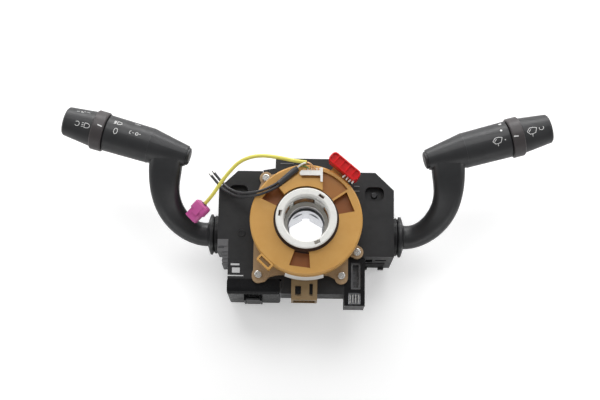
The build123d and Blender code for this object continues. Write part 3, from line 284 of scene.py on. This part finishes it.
def red_plastic(name):
    """Glossy red that lets a little light through."""
    red, deeper = (0.74, 0.008, 0.010), (0.52, 0.006, 0.008)
    shader = Shader(name, red, roughness=0.20, specular=0.4)
    shader.put("Transmission Weight", 0.12)
    shader.put("Subsurface Weight", 0.15)
    shader.put("Subsurface Radius", (0.004, 0.0008, 0.0008))
    shader.vary_color(deeper, scale=140, share=0.7)
    return shader.grain(scale=1400, depth_mm=0.006).material


def white_print(name):
    """Worn white paint."""
    white, worn = (0.78, 0.78, 0.77), (0.6, 0.6, 0.6)
    return Shader(name, white, roughness=0.55).vary_color(worn, scale=900, share=0.6).material


PLASTICS = {
    "black_plastic": dict(
        color=(0.013, 0.013, 0.014), patch=(0.024, 0.024, 0.025),
        roughness=0.42, grain_mm=0.022, specular=0.32,
    ),
    "stalk_plastic": dict(
        color=(0.015, 0.0155, 0.017), patch=(0.021, 0.0215, 0.023),
        roughness=0.42, grain_mm=0.016, grain_scale=3200,
    ),
    "ring_plastic": dict(
        color=(0.040, 0.034, 0.035), patch=(0.052, 0.045, 0.046),
        roughness=0.44, grain_mm=0.016, grain_scale=3200,
    ),
    "gloss_plastic": dict(
        color=(0.008, 0.008, 0.009), patch=(0.013, 0.013, 0.014),
        roughness=0.28, grain_mm=0.006, specular=0.12,
    ),
    # the wiper connector's own grey, lightened as painted light against the shade of its recess
    "panel_plastic": dict(
        color=(0.13, 0.13, 0.135), patch=(0.22, 0.22, 0.225),
        roughness=0.28, grain_mm=0.008,
    ),
    "grey_plastic": dict(
        color=(0.10, 0.10, 0.105), patch=(0.13, 0.13, 0.135),
        roughness=0.5,
    ),
    "bronze_plastic": dict(
        color=(0.36, 0.235, 0.125), patch=(0.43, 0.30, 0.17),
        roughness=0.38, grain_mm=0.01,
    ),
    "brown_plastic": dict(
        color=(0.22, 0.145, 0.065), patch=(0.29, 0.20, 0.10),
        roughness=0.34, grain_mm=0.01,
    ),
    # painted shade: the dark sheets in the hub's windows
    "dark_brown": dict(
        color=(0.030, 0.017, 0.008), patch=(0.05, 0.03, 0.014),
        roughness=0.6, specular=0.08,
    ),
    "white_plastic": dict(
        color=(0.76, 0.755, 0.72), patch=(0.69, 0.685, 0.66),
        roughness=0.30, grain_mm=0.006, grain_scale=1500,
    ),
    "pink_plastic": dict(
        color=(0.50, 0.075, 0.28), patch=(0.58, 0.13, 0.36),
        roughness=0.35, grain_mm=0.01,
    ),
    "dark_pink": dict(
        color=(0.10, 0.012, 0.05), patch=(0.16, 0.03, 0.09),
        roughness=0.4,
    ),
    "yellow_cover": dict(
        color=(0.70, 0.64, 0.12), patch=(0.62, 0.55, 0.09),
        roughness=0.42, grain_mm=0.01, grain_scale=900,
    ),
    "black_cover": dict(
        color=(0.022, 0.022, 0.025), patch=(0.035, 0.035, 0.038),
        roughness=0.36, grain_mm=0.02, grain_scale=900,
    ),
    "green_cover": dict(
        color=(0.10, 0.20, 0.05), patch=(0.13, 0.25, 0.07),
        roughness=0.45,
    ),
    "label": dict(
        color=(0.80, 0.79, 0.76), patch=(0.74, 0.73, 0.70),
        roughness=0.6, grain_mm=0.004, grain_scale=2500,
    ),
    "board": dict(
        color=(0.02, 0.11, 0.05), patch=(0.03, 0.15, 0.07),
        roughness=0.3, grain_mm=0.01, grain_scale=1200,
    ),
}
METALS = {
    "zinc": dict(color=(0.62, 0.63, 0.66), roughness=0.34),
    "steel": dict(color=(0.72, 0.71, 0.68), roughness=0.26),
    "dark_steel": dict(color=(0.06, 0.06, 0.062), roughness=0.36),
    "copper": dict(color=(0.72, 0.42, 0.22), roughness=0.3),
}
OTHERS = {
    "tan_plastic": tan_plastic,
    "window_brown": window_brown,
    "red_plastic": red_plastic,
    "white_print": white_print,
}
# nodes that don't look like the rest of their slot
OWN_LOOK = {
    "left_ring": "ring_plastic",
    "right_ring": "ring_plastic",
    "cover_screws": "dark_steel",
    "lighting_connector": "gloss_plastic",
    "wiper_bracket": "gloss_plastic",
    "connector_latch": "gloss_plastic",
    "wiper_connector": "panel_plastic",
    "wiper_shield": "zinc",
}


def make_materials():
    """Every material by its name."""
    made = {name: moulded(name, **look) for name, look in PLASTICS.items()}
    made.update((name, metal(name, **look)) for name, look in METALS.items())
    made.update((name, make(name)) for name, make in OTHERS.items())
    return made


def dress_nodes(made):
    """Each CAD node takes its slot's material, or one of its own."""
    slots = {part["node"]: part["material_slot"] for part in frame["record"]["subparts"]}
    for name, obj in frame["nodes"].items():
        obj.data.materials.clear()
        obj.data.materials.append(made[OWN_LOOK.get(name, slots[name])])
        for polygon in obj.data.polygons:
            polygon.material_index = 0


# ---- leads ----
def in_metres(place):
    return tuple(c * MM for c in place)


def curve_tube(name, points, radius, material):
    """Round tube along a NURBS line whose control points are the route's."""
    curve = bpy.data.curves.new(name, "CURVE")
    curve.dimensions = "3D"
    curve.bevel_depth = radius * MM
    curve.bevel_resolution = 8
    curve.resolution_u = 16
    curve.use_fill_caps = True
    spline = curve.splines.new("NURBS")
    spline.points.add(len(points) - 1)
    for point, place in zip(spline.points, points):
        point.co = (*in_metres(place), 1.0)
    spline.order_u = 3
    spline.use_endpoint_u = True
    obj = bpy.data.objects.new(name, curve)
    bpy.context.scene.collection.objects.link(obj)
    curve.materials.append(material)
    return obj


def lead(name, points, radius, node_name, slot, made):
    """Lead that stands for the CAD node of the same route."""
    obj = curve_tube(name, points, radius, made[slot])
    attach(obj, "rotor")
    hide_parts(node_name)
    return obj


def make_leads(made):
    """Yellow lead, and two black wires in a sleeve."""
    yellow = lead("yellow_wire", YELLOW, YELLOW_R, "yellow_lead", "yellow_cover", made)
    sleeve = lead("heat_shrink_sleeve", SLEEVE, SLEEVE_R, "black_sleeve", "black_cover", made)
    first = lead("black_wire_first", WIRE_A, WIRE_R, "black_wire_a", "black_cover", made)
    second = lead("black_wire_second", WIRE_B, WIRE_R, "black_wire_b", "black_cover", made)
    in_metres(YELLOW[0])
    in_metres(WIRE_A[0])
    in_metres(WIRE_B[0])


def make_tails(made):
    """Bare and covered tails that end on the contacts."""
    tails = [
        ("copper_tail", COPPER_TAIL, TAIL_R, "copper", "copper"),
        ("copper_strand", COPPER_STRAND, STRAND_R, "copper", "copper"),
        ("green_tail", GREEN_TAIL, TAIL_R, "yellow_cover", "green_cover"),
        ("white_tail", WHITE_TAIL, WHITE_TAIL_R, "white_plastic", "white_plastic"),
    ]
    for name, points, radius, slot, material in tails:
        tail = curve_tube(name, points, radius, made[material])
        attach(tail, "rotor")


# ---- meshes, each as (vertices, faces) ----
EDGE_ANGLE = 30.0         # sharper edges than this stay sharp


def mesh_object(name, meshes, body, material):
    """One object out of several meshes whose vertices are in metres, carried by a body."""
    verts, faces = [], []
    for v, f in meshes:
        faces += [tuple(i + len(verts) for i in face) for face in f]
        verts += v
    mesh = bpy.data.meshes.new(name)
    mesh.from_pydata(verts, [], faces)
    mesh.update()
    mesh.materials.append(material)
    obj = bpy.data.objects.new(name, mesh)
    bpy.context.scene.collection.objects.link(obj)
    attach(obj, body)
    return obj


def piece(name, meshes, body, material):
    """Small fitted piece, smooth but for its edges, out of meshes in millimetres."""
    scaled = [([in_metres(place) for place in verts], faces) for verts, faces in meshes]
    mesh = mesh_object(name, scaled, body, material).data
    mesh.polygons.foreach_set("use_smooth", [True] * len(mesh.polygons))
    mesh.set_sharp_from_angle(angle=math.radians(EDGE_ANGLE))


def skin(loops, closed=False):
    """Faces that join loops of as many points each, capped at both ends unless closed on itself."""
    n = len(loops[0])
    verts = [point for loop in loops for point in loop]
    faces = []
    for i in range(len(loops) if closed else len(loops) - 1):
        a, b = n * i, n * ((i + 1) % len(loops))
        faces += [(a + j, a + (j + 1) % n, b + (j + 1) % n, b + j) for j in range(n)]
    if not closed:
        faces += [tuple(reversed(range(n))), tuple(range(n * (len(loops) - 1), n * len(loops)))]
    return verts, faces


def pill(x, y, length, width, corner, angle=0.0):
    """Rounded rectangle round (x, y), turned by an angle in degrees."""
    steps = 4
    turn = math.radians(angle)
    cos, sin = math.cos(turn), math.sin(turn)
    outline = []
    for quarter, (sx, sy) in enumerate(((1, 1), (-1, 1), (-1, -1), (1, -1))):
        cx, cy = sx * (length / 2 - corner), sy * (width / 2 - corner)
        for i in range(steps + 1):
            t = math.radians(90 * (quarter + i / steps))
            px, py = cx + corner * math.cos(t), cy + corner * math.sin(t)
            outline.append((x + px * cos - py * sin, y + px * sin + py * cos))
    return outline


def plate(outline, z0, z1, bevel=0.15):
    """Upright prism with its top edge bevelled."""
    cx, cy = (sum(c) / len(outline) for c in zip(*outline))
    inset = []
    for x, y in outline:
        size = math.hypot(x - cx, y - cy)
        inset.append((x - (x - cx) / size * bevel, y - (y - cy) / size * bevel))
    foot = [(x, y, z0) for x, y in outline]
    edge = [(x, y, z1 - bevel) for x, y in outline]
    top = [(x, y, z1) for x, y in inset]
    return skin([foot, edge, top])


def ring(profile, place, steps):
    """Closed profile of (along, radius) points turned right round.

    place maps (along, radius, angle) to a point.
    """
    loops = []
    for i in range(steps):
        angle = 2 * math.pi * i / steps
        loops.append([place(a, r, angle) for a, r in profile])
    return skin(loops, closed=True)


def sector(radii, angle, half, heights):
    """Curved plate round the steering axis."""
    steps = 10
    (r0, r1), (z0, z1) = radii, heights
    corners = ((r0, z0), (r1, z0), (r1, z1), (r0, z1))
    loops = []
    for i in range(steps + 1):
        t = math.radians(angle - half + 2 * half * i / steps)
        loops.append([(r * math.cos(t), r * math.sin(t), z) for r, z in corners])
    return skin(loops)


# ---- small fitted pieces ----
SINK = 0.1                # a raised form starts this far inside its case
# raised forms: x, y, length, width and height
EDGE_BLOCK = (-68.1, -15.9, 8.6, 5.0, 0.5)
EDGE_RIBS = [(-66.1, y, 4.4, 1.4, 0.7) for y in (-22.4, -25.3, -28.3, -31.2)]
# black strip of painted shade in the edge connector's slot
EDGE_SLOT_SHADE = (-69.5, -19.5, 4.8, 1.1, 0.1)
HOUSING_LEDGE = (-16.4, 52.0, 11.2, 0.9, 0.5)
COVER_LEDGES = [(41.7, y, 4.6, 0.8, 0.5) for y in (33.5, 29.4)]
BOSS_PLACE = (-52.9, -7.6)
BLADE_PLACE = (36.9, -60.2)           # the first of the shield's blades
BLADE_PITCH = 2.3
BLADE_Z = (57.9, 59.4)


def make_gaiters(made):
    """Fixed boot between each case and the lever's collar, inside the ball the collar swings on."""
    ball, outer, inner = 25.9, 16.0, 12.0
    face, groove_start, groove_end = 16.8, 18.4, 19.2
    groove_floor = outer - 0.7
    profile = [
        (face, inner), (face, outer), (groove_start, outer), (groove_start, groove_floor),
        (groove_end, groove_floor), (groove_end, outer),
    ]
    steps = 5
    for i in range(steps + 1):
        r = outer - (outer - inner) * i / steps
        profile.append((math.sqrt(ball ** 2 - r ** 2), r))
    for name, side in (("left_gaiter", -1), ("right_gaiter", 1)):
        def place(along, r, angle, side=side):
            x, y = side * (PIVOT[0] + along), PIVOT[1] + r * math.cos(angle)
            return x, y, PIVOT[2] + r * math.sin(angle)
        piece(name, [ring(profile, place, 72)], "base", made["black_plastic"])


def make_window_shade_and_panels(made):
    """Dark sheet of painted shade in each of the hub's windows, round the edges of a brown panel.
    """
    shade_sheet_r, panel_r = (HUB_WALL_R + 0.5, HUB_WALL_R + 0.8), (HUB_WALL_R + 0.1, HUB_WALL_R + 0.6)
    panel_z = (WINDOW_Z[0] + 1.6, WINDOW_Z[1] - 0.8)
    shade_sheet_gap, panel_gap = 0.03, 1.1     # from the sides of the window
    shade_sheets, panels = [], []
    for angle, width in HUB_WINDOWS:
        half = math.degrees(math.asin((width / 2 - shade_sheet_gap) / shade_sheet_r[1]))
        shade_sheets.append(sector(shade_sheet_r, angle, half, WINDOW_Z))
        half = math.degrees(math.asin((width / 2 - panel_gap) / HUB_WALL_R))
        panels.append(sector(panel_r, angle, half, panel_z))
    # the dark brown sheets are painted shade round the window panels
    piece("window_shade_sheets", shade_sheets, "rotor", made["dark_brown"])
    piece("window_panels", panels, "rotor", made["window_brown"])


def make_lock_teeth(made):
    """Four white teeth that reach out from under the lock's grip."""
    rows = [(4.6, -12, 2.9), (7.6, 8, 2.6), (10.4, -8, 2.4), (13.0, 10, 1.9)]   # place, lean, reach
    width, corner, hidden, root = 1.2, 0.3, 0.5, 1.0
    z0, z1 = 88.0, 89.2
    turn = math.radians(LOCK_TURN)
    along, across = (math.cos(turn), math.sin(turn)), (-math.sin(turn), math.cos(turn))
    teeth = []
    for u, lean, reach in rows:
        v = -LOCK_HALF_W - reach / 2 + hidden
        x = LOCK_PLACE[0] + u * along[0] + v * across[0]
        y = LOCK_PLACE[1] + u * along[1] + v * across[1]
        teeth.append(plate(pill(x, y, width, reach + root, corner, LOCK_TURN + lean), z0, z1))
    piece("lock_teeth", teeth, "lock", made["white_plastic"])


def make_plug_shoulder(made):
    """Stepped shoulder with a ridge, and the lead's grommet, on the yellow lead's plug."""
    end, before = Vector(YELLOW[-1]), Vector(YELLOW[-2])
    out = (end - before).normalized()
    up = (Vector((0, 0, 1)) - out * out.z).normalized()
    across = out.cross(up)

    def at(x, y, z):
        return tuple(end + up * x + across * y + out * z)

    def around(along, r, angle):
        return at(r * math.cos(angle), r * math.sin(angle), along)

    block = pill(0, 0, length=9.9, width=13.2, corner=1.5)
    steps = ((0.5, 0.93), (1.1, 1.0), (7.9, 1.0), (8.5, 0.96))    # place and share of the outline
    shoulder = skin([[at(x * share, y * share, z) for x, y in block] for z, share in steps])
    bar, rise, span = pill(0, 0, length=1.4, width=12.0, corner=0.4), 5.0, (2.0, 6.8)
    ridge = skin([[at(rise + x, y, z) for x, y in bar] for z in span])
    piece("plug_shoulder", [shoulder, ridge], "rotor", made["pink_plastic"])

    bore = YELLOW_R + 0.05
    profile = [(-0.9, bore), (-0.9, 2.1), (0.2, 2.7), (0.8, 2.7), (0.8, bore)]
    grommet = ring(profile, around, 32)
    piece("plug_grommet", [grommet], "rotor", made["dark_pink"])


def raised(x, y, length, width, height, corner=0.3, bevel=0.15):
    """Low rounded block on the front of a case."""
    return plate(pill(x, y, length, width, corner), FRONT - SINK, FRONT + height, bevel)


def make_edge_details(made):
    """Ribs of the edge connector, and a black strip of painted shade in its slot."""
    ribs = [raised(*EDGE_BLOCK, corner=0.4)] + [raised(*rib) for rib in EDGE_RIBS]
    piece("edge_ribs", ribs, "base", made["grey_plastic"])
    # black strip of painted shade where the slot is
    slot = raised(*EDGE_SLOT_SHADE, bevel=0.05)
    piece("edge_slot_shade", [slot], "base", made["black_cover"])


def make_shield_blades(made):
    """Four steel blades in the mouth of the metal shield."""
    x, y = BLADE_PLACE
    outlines = [pill(x + BLADE_PITCH * i, y, length=0.9, width=7.8, corner=0.25) for i in range(4)]
    blades = [plate(outline, *BLADE_Z) for outline in outlines]
    piece("shield_blades", blades, "base", made["steel"])


def make_cover_details(made):
    """Round boss on the left cover, and ledges on the housing and the right cover."""
    x, y = BOSS_PLACE

    def around(along, r, angle):
        return x + r * math.cos(angle), y + r * math.sin(angle), along

    foot, seat, rim = FRONT - SINK, FRONT + 0.3, FRONT + 0.7
    profile = [(foot, 0.4), (seat, 0.4), (seat, 1.7), (rim, 2.1), (rim, 2.8), (foot, 3.3)]
    boss = ring(profile, around, 40)
    piece("cover_boss", [boss], "base", made["black_plastic"])
    ledges = [raised(*HOUSING_LEDGE)] + [raised(*ledge) for ledge in COVER_LEDGES]
    piece("cover_ledges", ledges, "base", made["grey_plastic"])


# ---- prints on the pods: s runs along a pod's axis, v round it from its front ----
def lerp(pair, t):
    return pair[0] + (pair[1] - pair[0]) * t


def barrel_radius(s):
    return lerp(BARREL_R, s / BARREL_L)


def ring_radius(s):
    return RING_R


def knob_radius(s):
    return lerp(KNOB_R, (s - KNOB_SPAN[0]) / (KNOB_SPAN[1] - KNOB_SPAN[0]))


def pod_point(side, s, v, radius, lift):
    """Place over a pod, in metres, that stands off its surface by lift."""
    tilt = math.radians(POD_TILT)
    axis = Vector((side * math.cos(tilt), math.sin(tilt), 0))
    across = Vector((-side * math.sin(tilt), math.cos(tilt), 0))
    start = Vector((side * POD_ORIGIN[0], POD_ORIGIN[1], POD_ORIGIN[2]))
    r = radius(s)
    outward = across * math.sin(v / r) + Vector((0, 0, 1)) * math.cos(v / r)
    return (start + axis * s + outward * (r + lift)) * MM


def resample(points):
    """Points no further apart than a print's step along a line."""
    made = [points[0]]
    for a, b in zip(points, points[1:]):
        n = max(1, math.ceil(math.dist(a, b) / PRINT_STEP))
        made += [(lerp((a[0], b[0]), i / n), lerp((a[1], b[1]), i / n)) for i in range(1, n + 1)]
    return made


def stroke_mesh(side, points, radius, width):
    """One painted stroke, in metres: a low strip along the points."""
    line = resample(points)
    corners = ((1, -PRINT_SUNK), (1, PRINT_LIFT), (-1, PRINT_LIFT), (-1, -PRINT_SUNK))
    loops = []
    for i, (s, v) in enumerate(line):
        a, b = line[max(i - 1, 0)], line[min(i + 1, len(line) - 1)]
        ds, dv = b[0] - a[0], b[1] - a[1]
        size = math.hypot(ds, dv) or 1.0
        ns, nv = -dv / size * width / 2, ds / size * width / 2
        loops.append([
            pod_point(side, s + sign * ns, v + sign * nv, radius, lift) for sign, lift in corners
        ])
    return skin(loops)


def print_piece(name, side, body, radius, strokes, made, width=PRINT_WIDTH):
    """One piece with all the white strokes of a surface."""
    meshes = [stroke_mesh(side, stroke, radius, width) for stroke in strokes]
    mesh_object(name, meshes, body, made["white_print"])


def arc(s, v, rs, rv, start, end, steps):
    """Part of an ellipse, its angles in degrees."""
    turns = [math.radians(lerp((start, end), i / steps)) for i in range(steps + 1)]
    return [(s + rs * math.cos(t), v + rv * math.sin(t)) for t in turns]


def dot(s, v, r):
    """Small filled dot, as a tight turn of the stroke."""
    return arc(s, v, r / 2, r / 2, 0, 360, 8)


def lamp_lines(s, v, count, length, pitch, drop):
    """Beam lines of a lamp sign, towards +s."""
    return [[(s, v - pitch * i), (s + length, v - pitch * i - drop)] for i in range(count)]


def lamp_body(s, v, width, height):
    """D-shaped lamp whose flat side faces +s."""
    half, flat = height / 2, 0.35 * width
    bow = arc(s - flat, v, width * 0.65, half, 90, 270, 12)
    return [(s, v + half), *bow, (s, v - half), (s, v + half)]


def wiper_sign(s, v, size):
    """Windscreen with a wiper swept across it, and the wiper's arm below."""
    screen = [
        (-3.9, -0.1), (-1.5, 2.4), (1.4, 2.5), (4.3, 1.6),
        (2.6, -2.0), (0.2, -2.5), (-2.0, -2.3), (-3.9, -0.1),
    ]
    sweep = [(-2.6, -0.5), (-0.6, 1.3)]
    arm = [(0.0, -2.4), (-0.2, -4.6)]
    return [[(s + size * a, v + size * b) for a, b in line] for line in (screen, sweep, arm)]


def left_barrel_strokes():
    oval = arc(28.5, 0.3, 1.5, 2.4, 0, 360, 20)
    lamp = [*lamp_lines(30.2, 9.6, 4, 1.9, 0.9, 0.35), lamp_body(29.3, 8.3, 3.6, 2.9)]
    hook = [arc(16.4, 2.9, 1.0, 1.3, -100, 100, 10), [(15.0, 2.9), (14.0, 3.0)]]
    loop = [arc(11.3, 3.0, 1.1, 1.2, 0, 360, 12), [(9.6, 3.3), (8.2, 3.4)]]
    curls = [arc(15.4, 13.2, 1.2, 0.8, 20, 200, 8), arc(12.8, 14.2, 1.0, 0.8, 180, 380, 8)]
    return [oval, *lamp, *hook, *loop, *curls]


def left_knob_strokes():
    open_ring = arc(60.8, -2.2, 1.9, 1.9, 40, 320, 12)
    lamp = [*lamp_lines(55.3, -0.4, 3, 1.6, 1.5, 0.3), lamp_body(54.4, -2.1, 4.4, 3.8)]
    dashes = [
        [(65.0, 8.9), (62.6, 9.6)], [(61.6, 9.9), (60.2, 10.3)], [(59.2, 10.4), (57.6, 10.9)],
        [(56.6, 10.8), (55.0, 10.9), (53.8, 10.2)], [(60.9, 8.6), (59.0, 9.2)],
    ]
    return [open_ring, *lamp, *dashes]


def right_barrel_strokes():
    rings = [arc(31.5, 5.5, r, r, 0, 360, 10) for r in (0.35, 0.75)]
    ovals = [arc(33.0, 13.4, 1.1 * k, 0.8 * k, 0, 360, 12) for k in (0.5, 1.0)]
    return [*wiper_sign(26.0, -2.2, 1.0), dot(32.4, -3.0, 0.6), *rings, *ovals]


def right_knob_strokes():
    open_ring = arc(64.0, -0.6, 1.9, 1.6, 150, 390, 12)
    return [*wiper_sign(55.6, -1.2, 1.05), open_ring]


def make_prints(made):
    """Signs on the barrels and knobs."""
    print_piece("left_barrel_print", -1, "left_stalk", barrel_radius, left_barrel_strokes(), made)
    print_piece("left_knob_print", -1, "left_knob", knob_radius, left_knob_strokes(), made)
    print_piece("right_barrel_print", 1, "right_stalk", barrel_radius, right_barrel_strokes(), made)
    print_piece("right_knob_print", 1, "right_knob", knob_radius, right_knob_strokes(), made)


def make_seams(made):
    """Dark line right round each barrel where it meets the arm's head."""
    around = [(0.0, math.radians(t) * BARREL_R[0]) for t in range(0, 361, 4)]
    for name, side, body in (("left_seam", -1, "left_stalk"), ("right_seam", 1, "right_stalk")):
        line = stroke_mesh(side, around, barrel_radius, SEAM_WIDTH)
        mesh_object(name, [line], body, made["black_cover"])


def make_ring_marks(made):
    """Index line of each turning ring."""
    left, right = [(40.0, 0.4), (43.8, 0.9)], [(39.6, -2.5), (43.4, -3.1)]
    print_piece("left_ring_mark", -1, "left_ring", ring_radius, [left], made, MARK_WIDTH)
    print_piece("right_ring_mark", 1, "right_ring", ring_radius, [right], made, MARK_WIDTH)


# ---- stage, in metres ----
FLOOR_SIZE = 6
FLOOR_Z = -0.0002
FLOOR_COLOR = (0.86, 0.86, 0.86, 1)
FLOOR_GLOW = 0.3                  # round the object
GLOW_FADE = (0.35, 1.0)           # it rises to full between these distances from the axis
BORE_FADE = (0.026, 0.030)        # and falls from full, behind the open bore, between these
FILL_LIGHT = 0.36
WHITE = (1, 1, 1, 1)
# place, aim, width and height, and power in watts
SOFTBOXES = {
    "top_strip": ((0.0, 1.4, 0.50), (0, 0, 0.06), (2.4, 0.5), 24.0),
    "top_front": ((0.0, 0.9, 1.5), (0, 0, 0.05), (1.6, 0.7), 11.0),
    "low_strip": ((0.0, -1.3, 0.22), (0, 0, 0.06), (2.0, 0.3), 4.0),
    "side_left": ((-1.4, 0.2, 0.8), (0, 0, 0.05), (0.7, 0.7), 4.5),
    "side_right": ((1.4, 0.2, 0.8), (0, 0, 0.05), (0.7, 0.7), 4.5),
}


def floor_glow(tree):
    """Glow of the floor: full behind the open bore and far away, slight round the object."""
    distance, _ = axis_place(tree)
    bore = spread(tree, distance, BORE_FADE, (1.0, 0.0))
    rest = spread(tree, distance, GLOW_FADE, (FLOOR_GLOW, 1.0))
    straight = combine(tree, "MULTIPLY", seen_directly(tree), combine(tree, "MAXIMUM", bore, rest))
    glossy = node(tree, "LightPath", {}).outputs["Is Glossy Ray"]
    return combine(tree, "MAXIMUM", straight, combine(tree, "MULTIPLY", glossy, bore))


def make_floor():
    """Pale floor that keeps the object's shadow and glows white away from it."""
    bpy.ops.mesh.primitive_plane_add(size=FLOOR_SIZE, location=(0, 0, FLOOR_Z))
    floor = bpy.context.object
    floor.name = "floor"
    material = bpy.data.materials.new("floor")
    material.use_nodes = True
    tree = material.node_tree
    tree.nodes.clear()
    diffuse = node(tree, "BsdfDiffuse", {"Color": FLOOR_COLOR})
    glow = node(tree, "Emission", {"Color": WHITE, "Strength": floor_glow(tree)})
    both = node(tree, "AddShader", {0: diffuse.outputs[0], 1: glow.outputs[0]})
    node(tree, "OutputMaterial", {"Surface": both.outputs[0]})
    floor.data.materials.append(material)


def make_world():
    """White background for the camera, and a soft fill for everything else."""
    world = bpy.data.worlds.new("world")
    bpy.context.scene.world = world
    world.use_nodes = True
    tree = world.node_tree
    tree.nodes.clear()
    fill = node(tree, "Background", {"Color": WHITE, "Strength": FILL_LIGHT}).outputs[0]
    white = node(tree, "Background", {"Color": WHITE, "Strength": 1.0}).outputs[0]
    mix = node(tree, "MixShader", {"Fac": seen_directly(tree), 1: fill, 2: white})
    node(tree, "OutputWorld", {"Surface": mix.outputs[0]})


def make_lights():
    """Rectangular softboxes that face the object."""
    for name, (place, aim, size, power) in SOFTBOXES.items():
        data = bpy.data.lights.new(name, "AREA")
        data.shape = "RECTANGLE"
        data.size, data.size_y = size
        data.energy = power
        light = bpy.data.objects.new(name, data)
        bpy.context.scene.collection.objects.link(light)
        light.location = place
        light.rotation_mode = "QUATERNION"
        light.rotation_quaternion = (Vector(aim) - Vector(place)).to_track_quat("-Z", "Y")


materials = make_materials()
make_camera()
dress_nodes(materials)
make_leads(materials)
make_tails(materials)
make_gaiters(materials)
make_window_shade_and_panels(materials)
make_lock_teeth(materials)
make_plug_shoulder(materials)
make_edge_details(materials)
make_shield_blades(materials)
make_cover_details(materials)
make_prints(materials)
make_seams(materials)
make_ring_marks(materials)
make_floor()
make_world()
make_lights()
bpy.context.scene.view_settings.view_transform = "Standard"
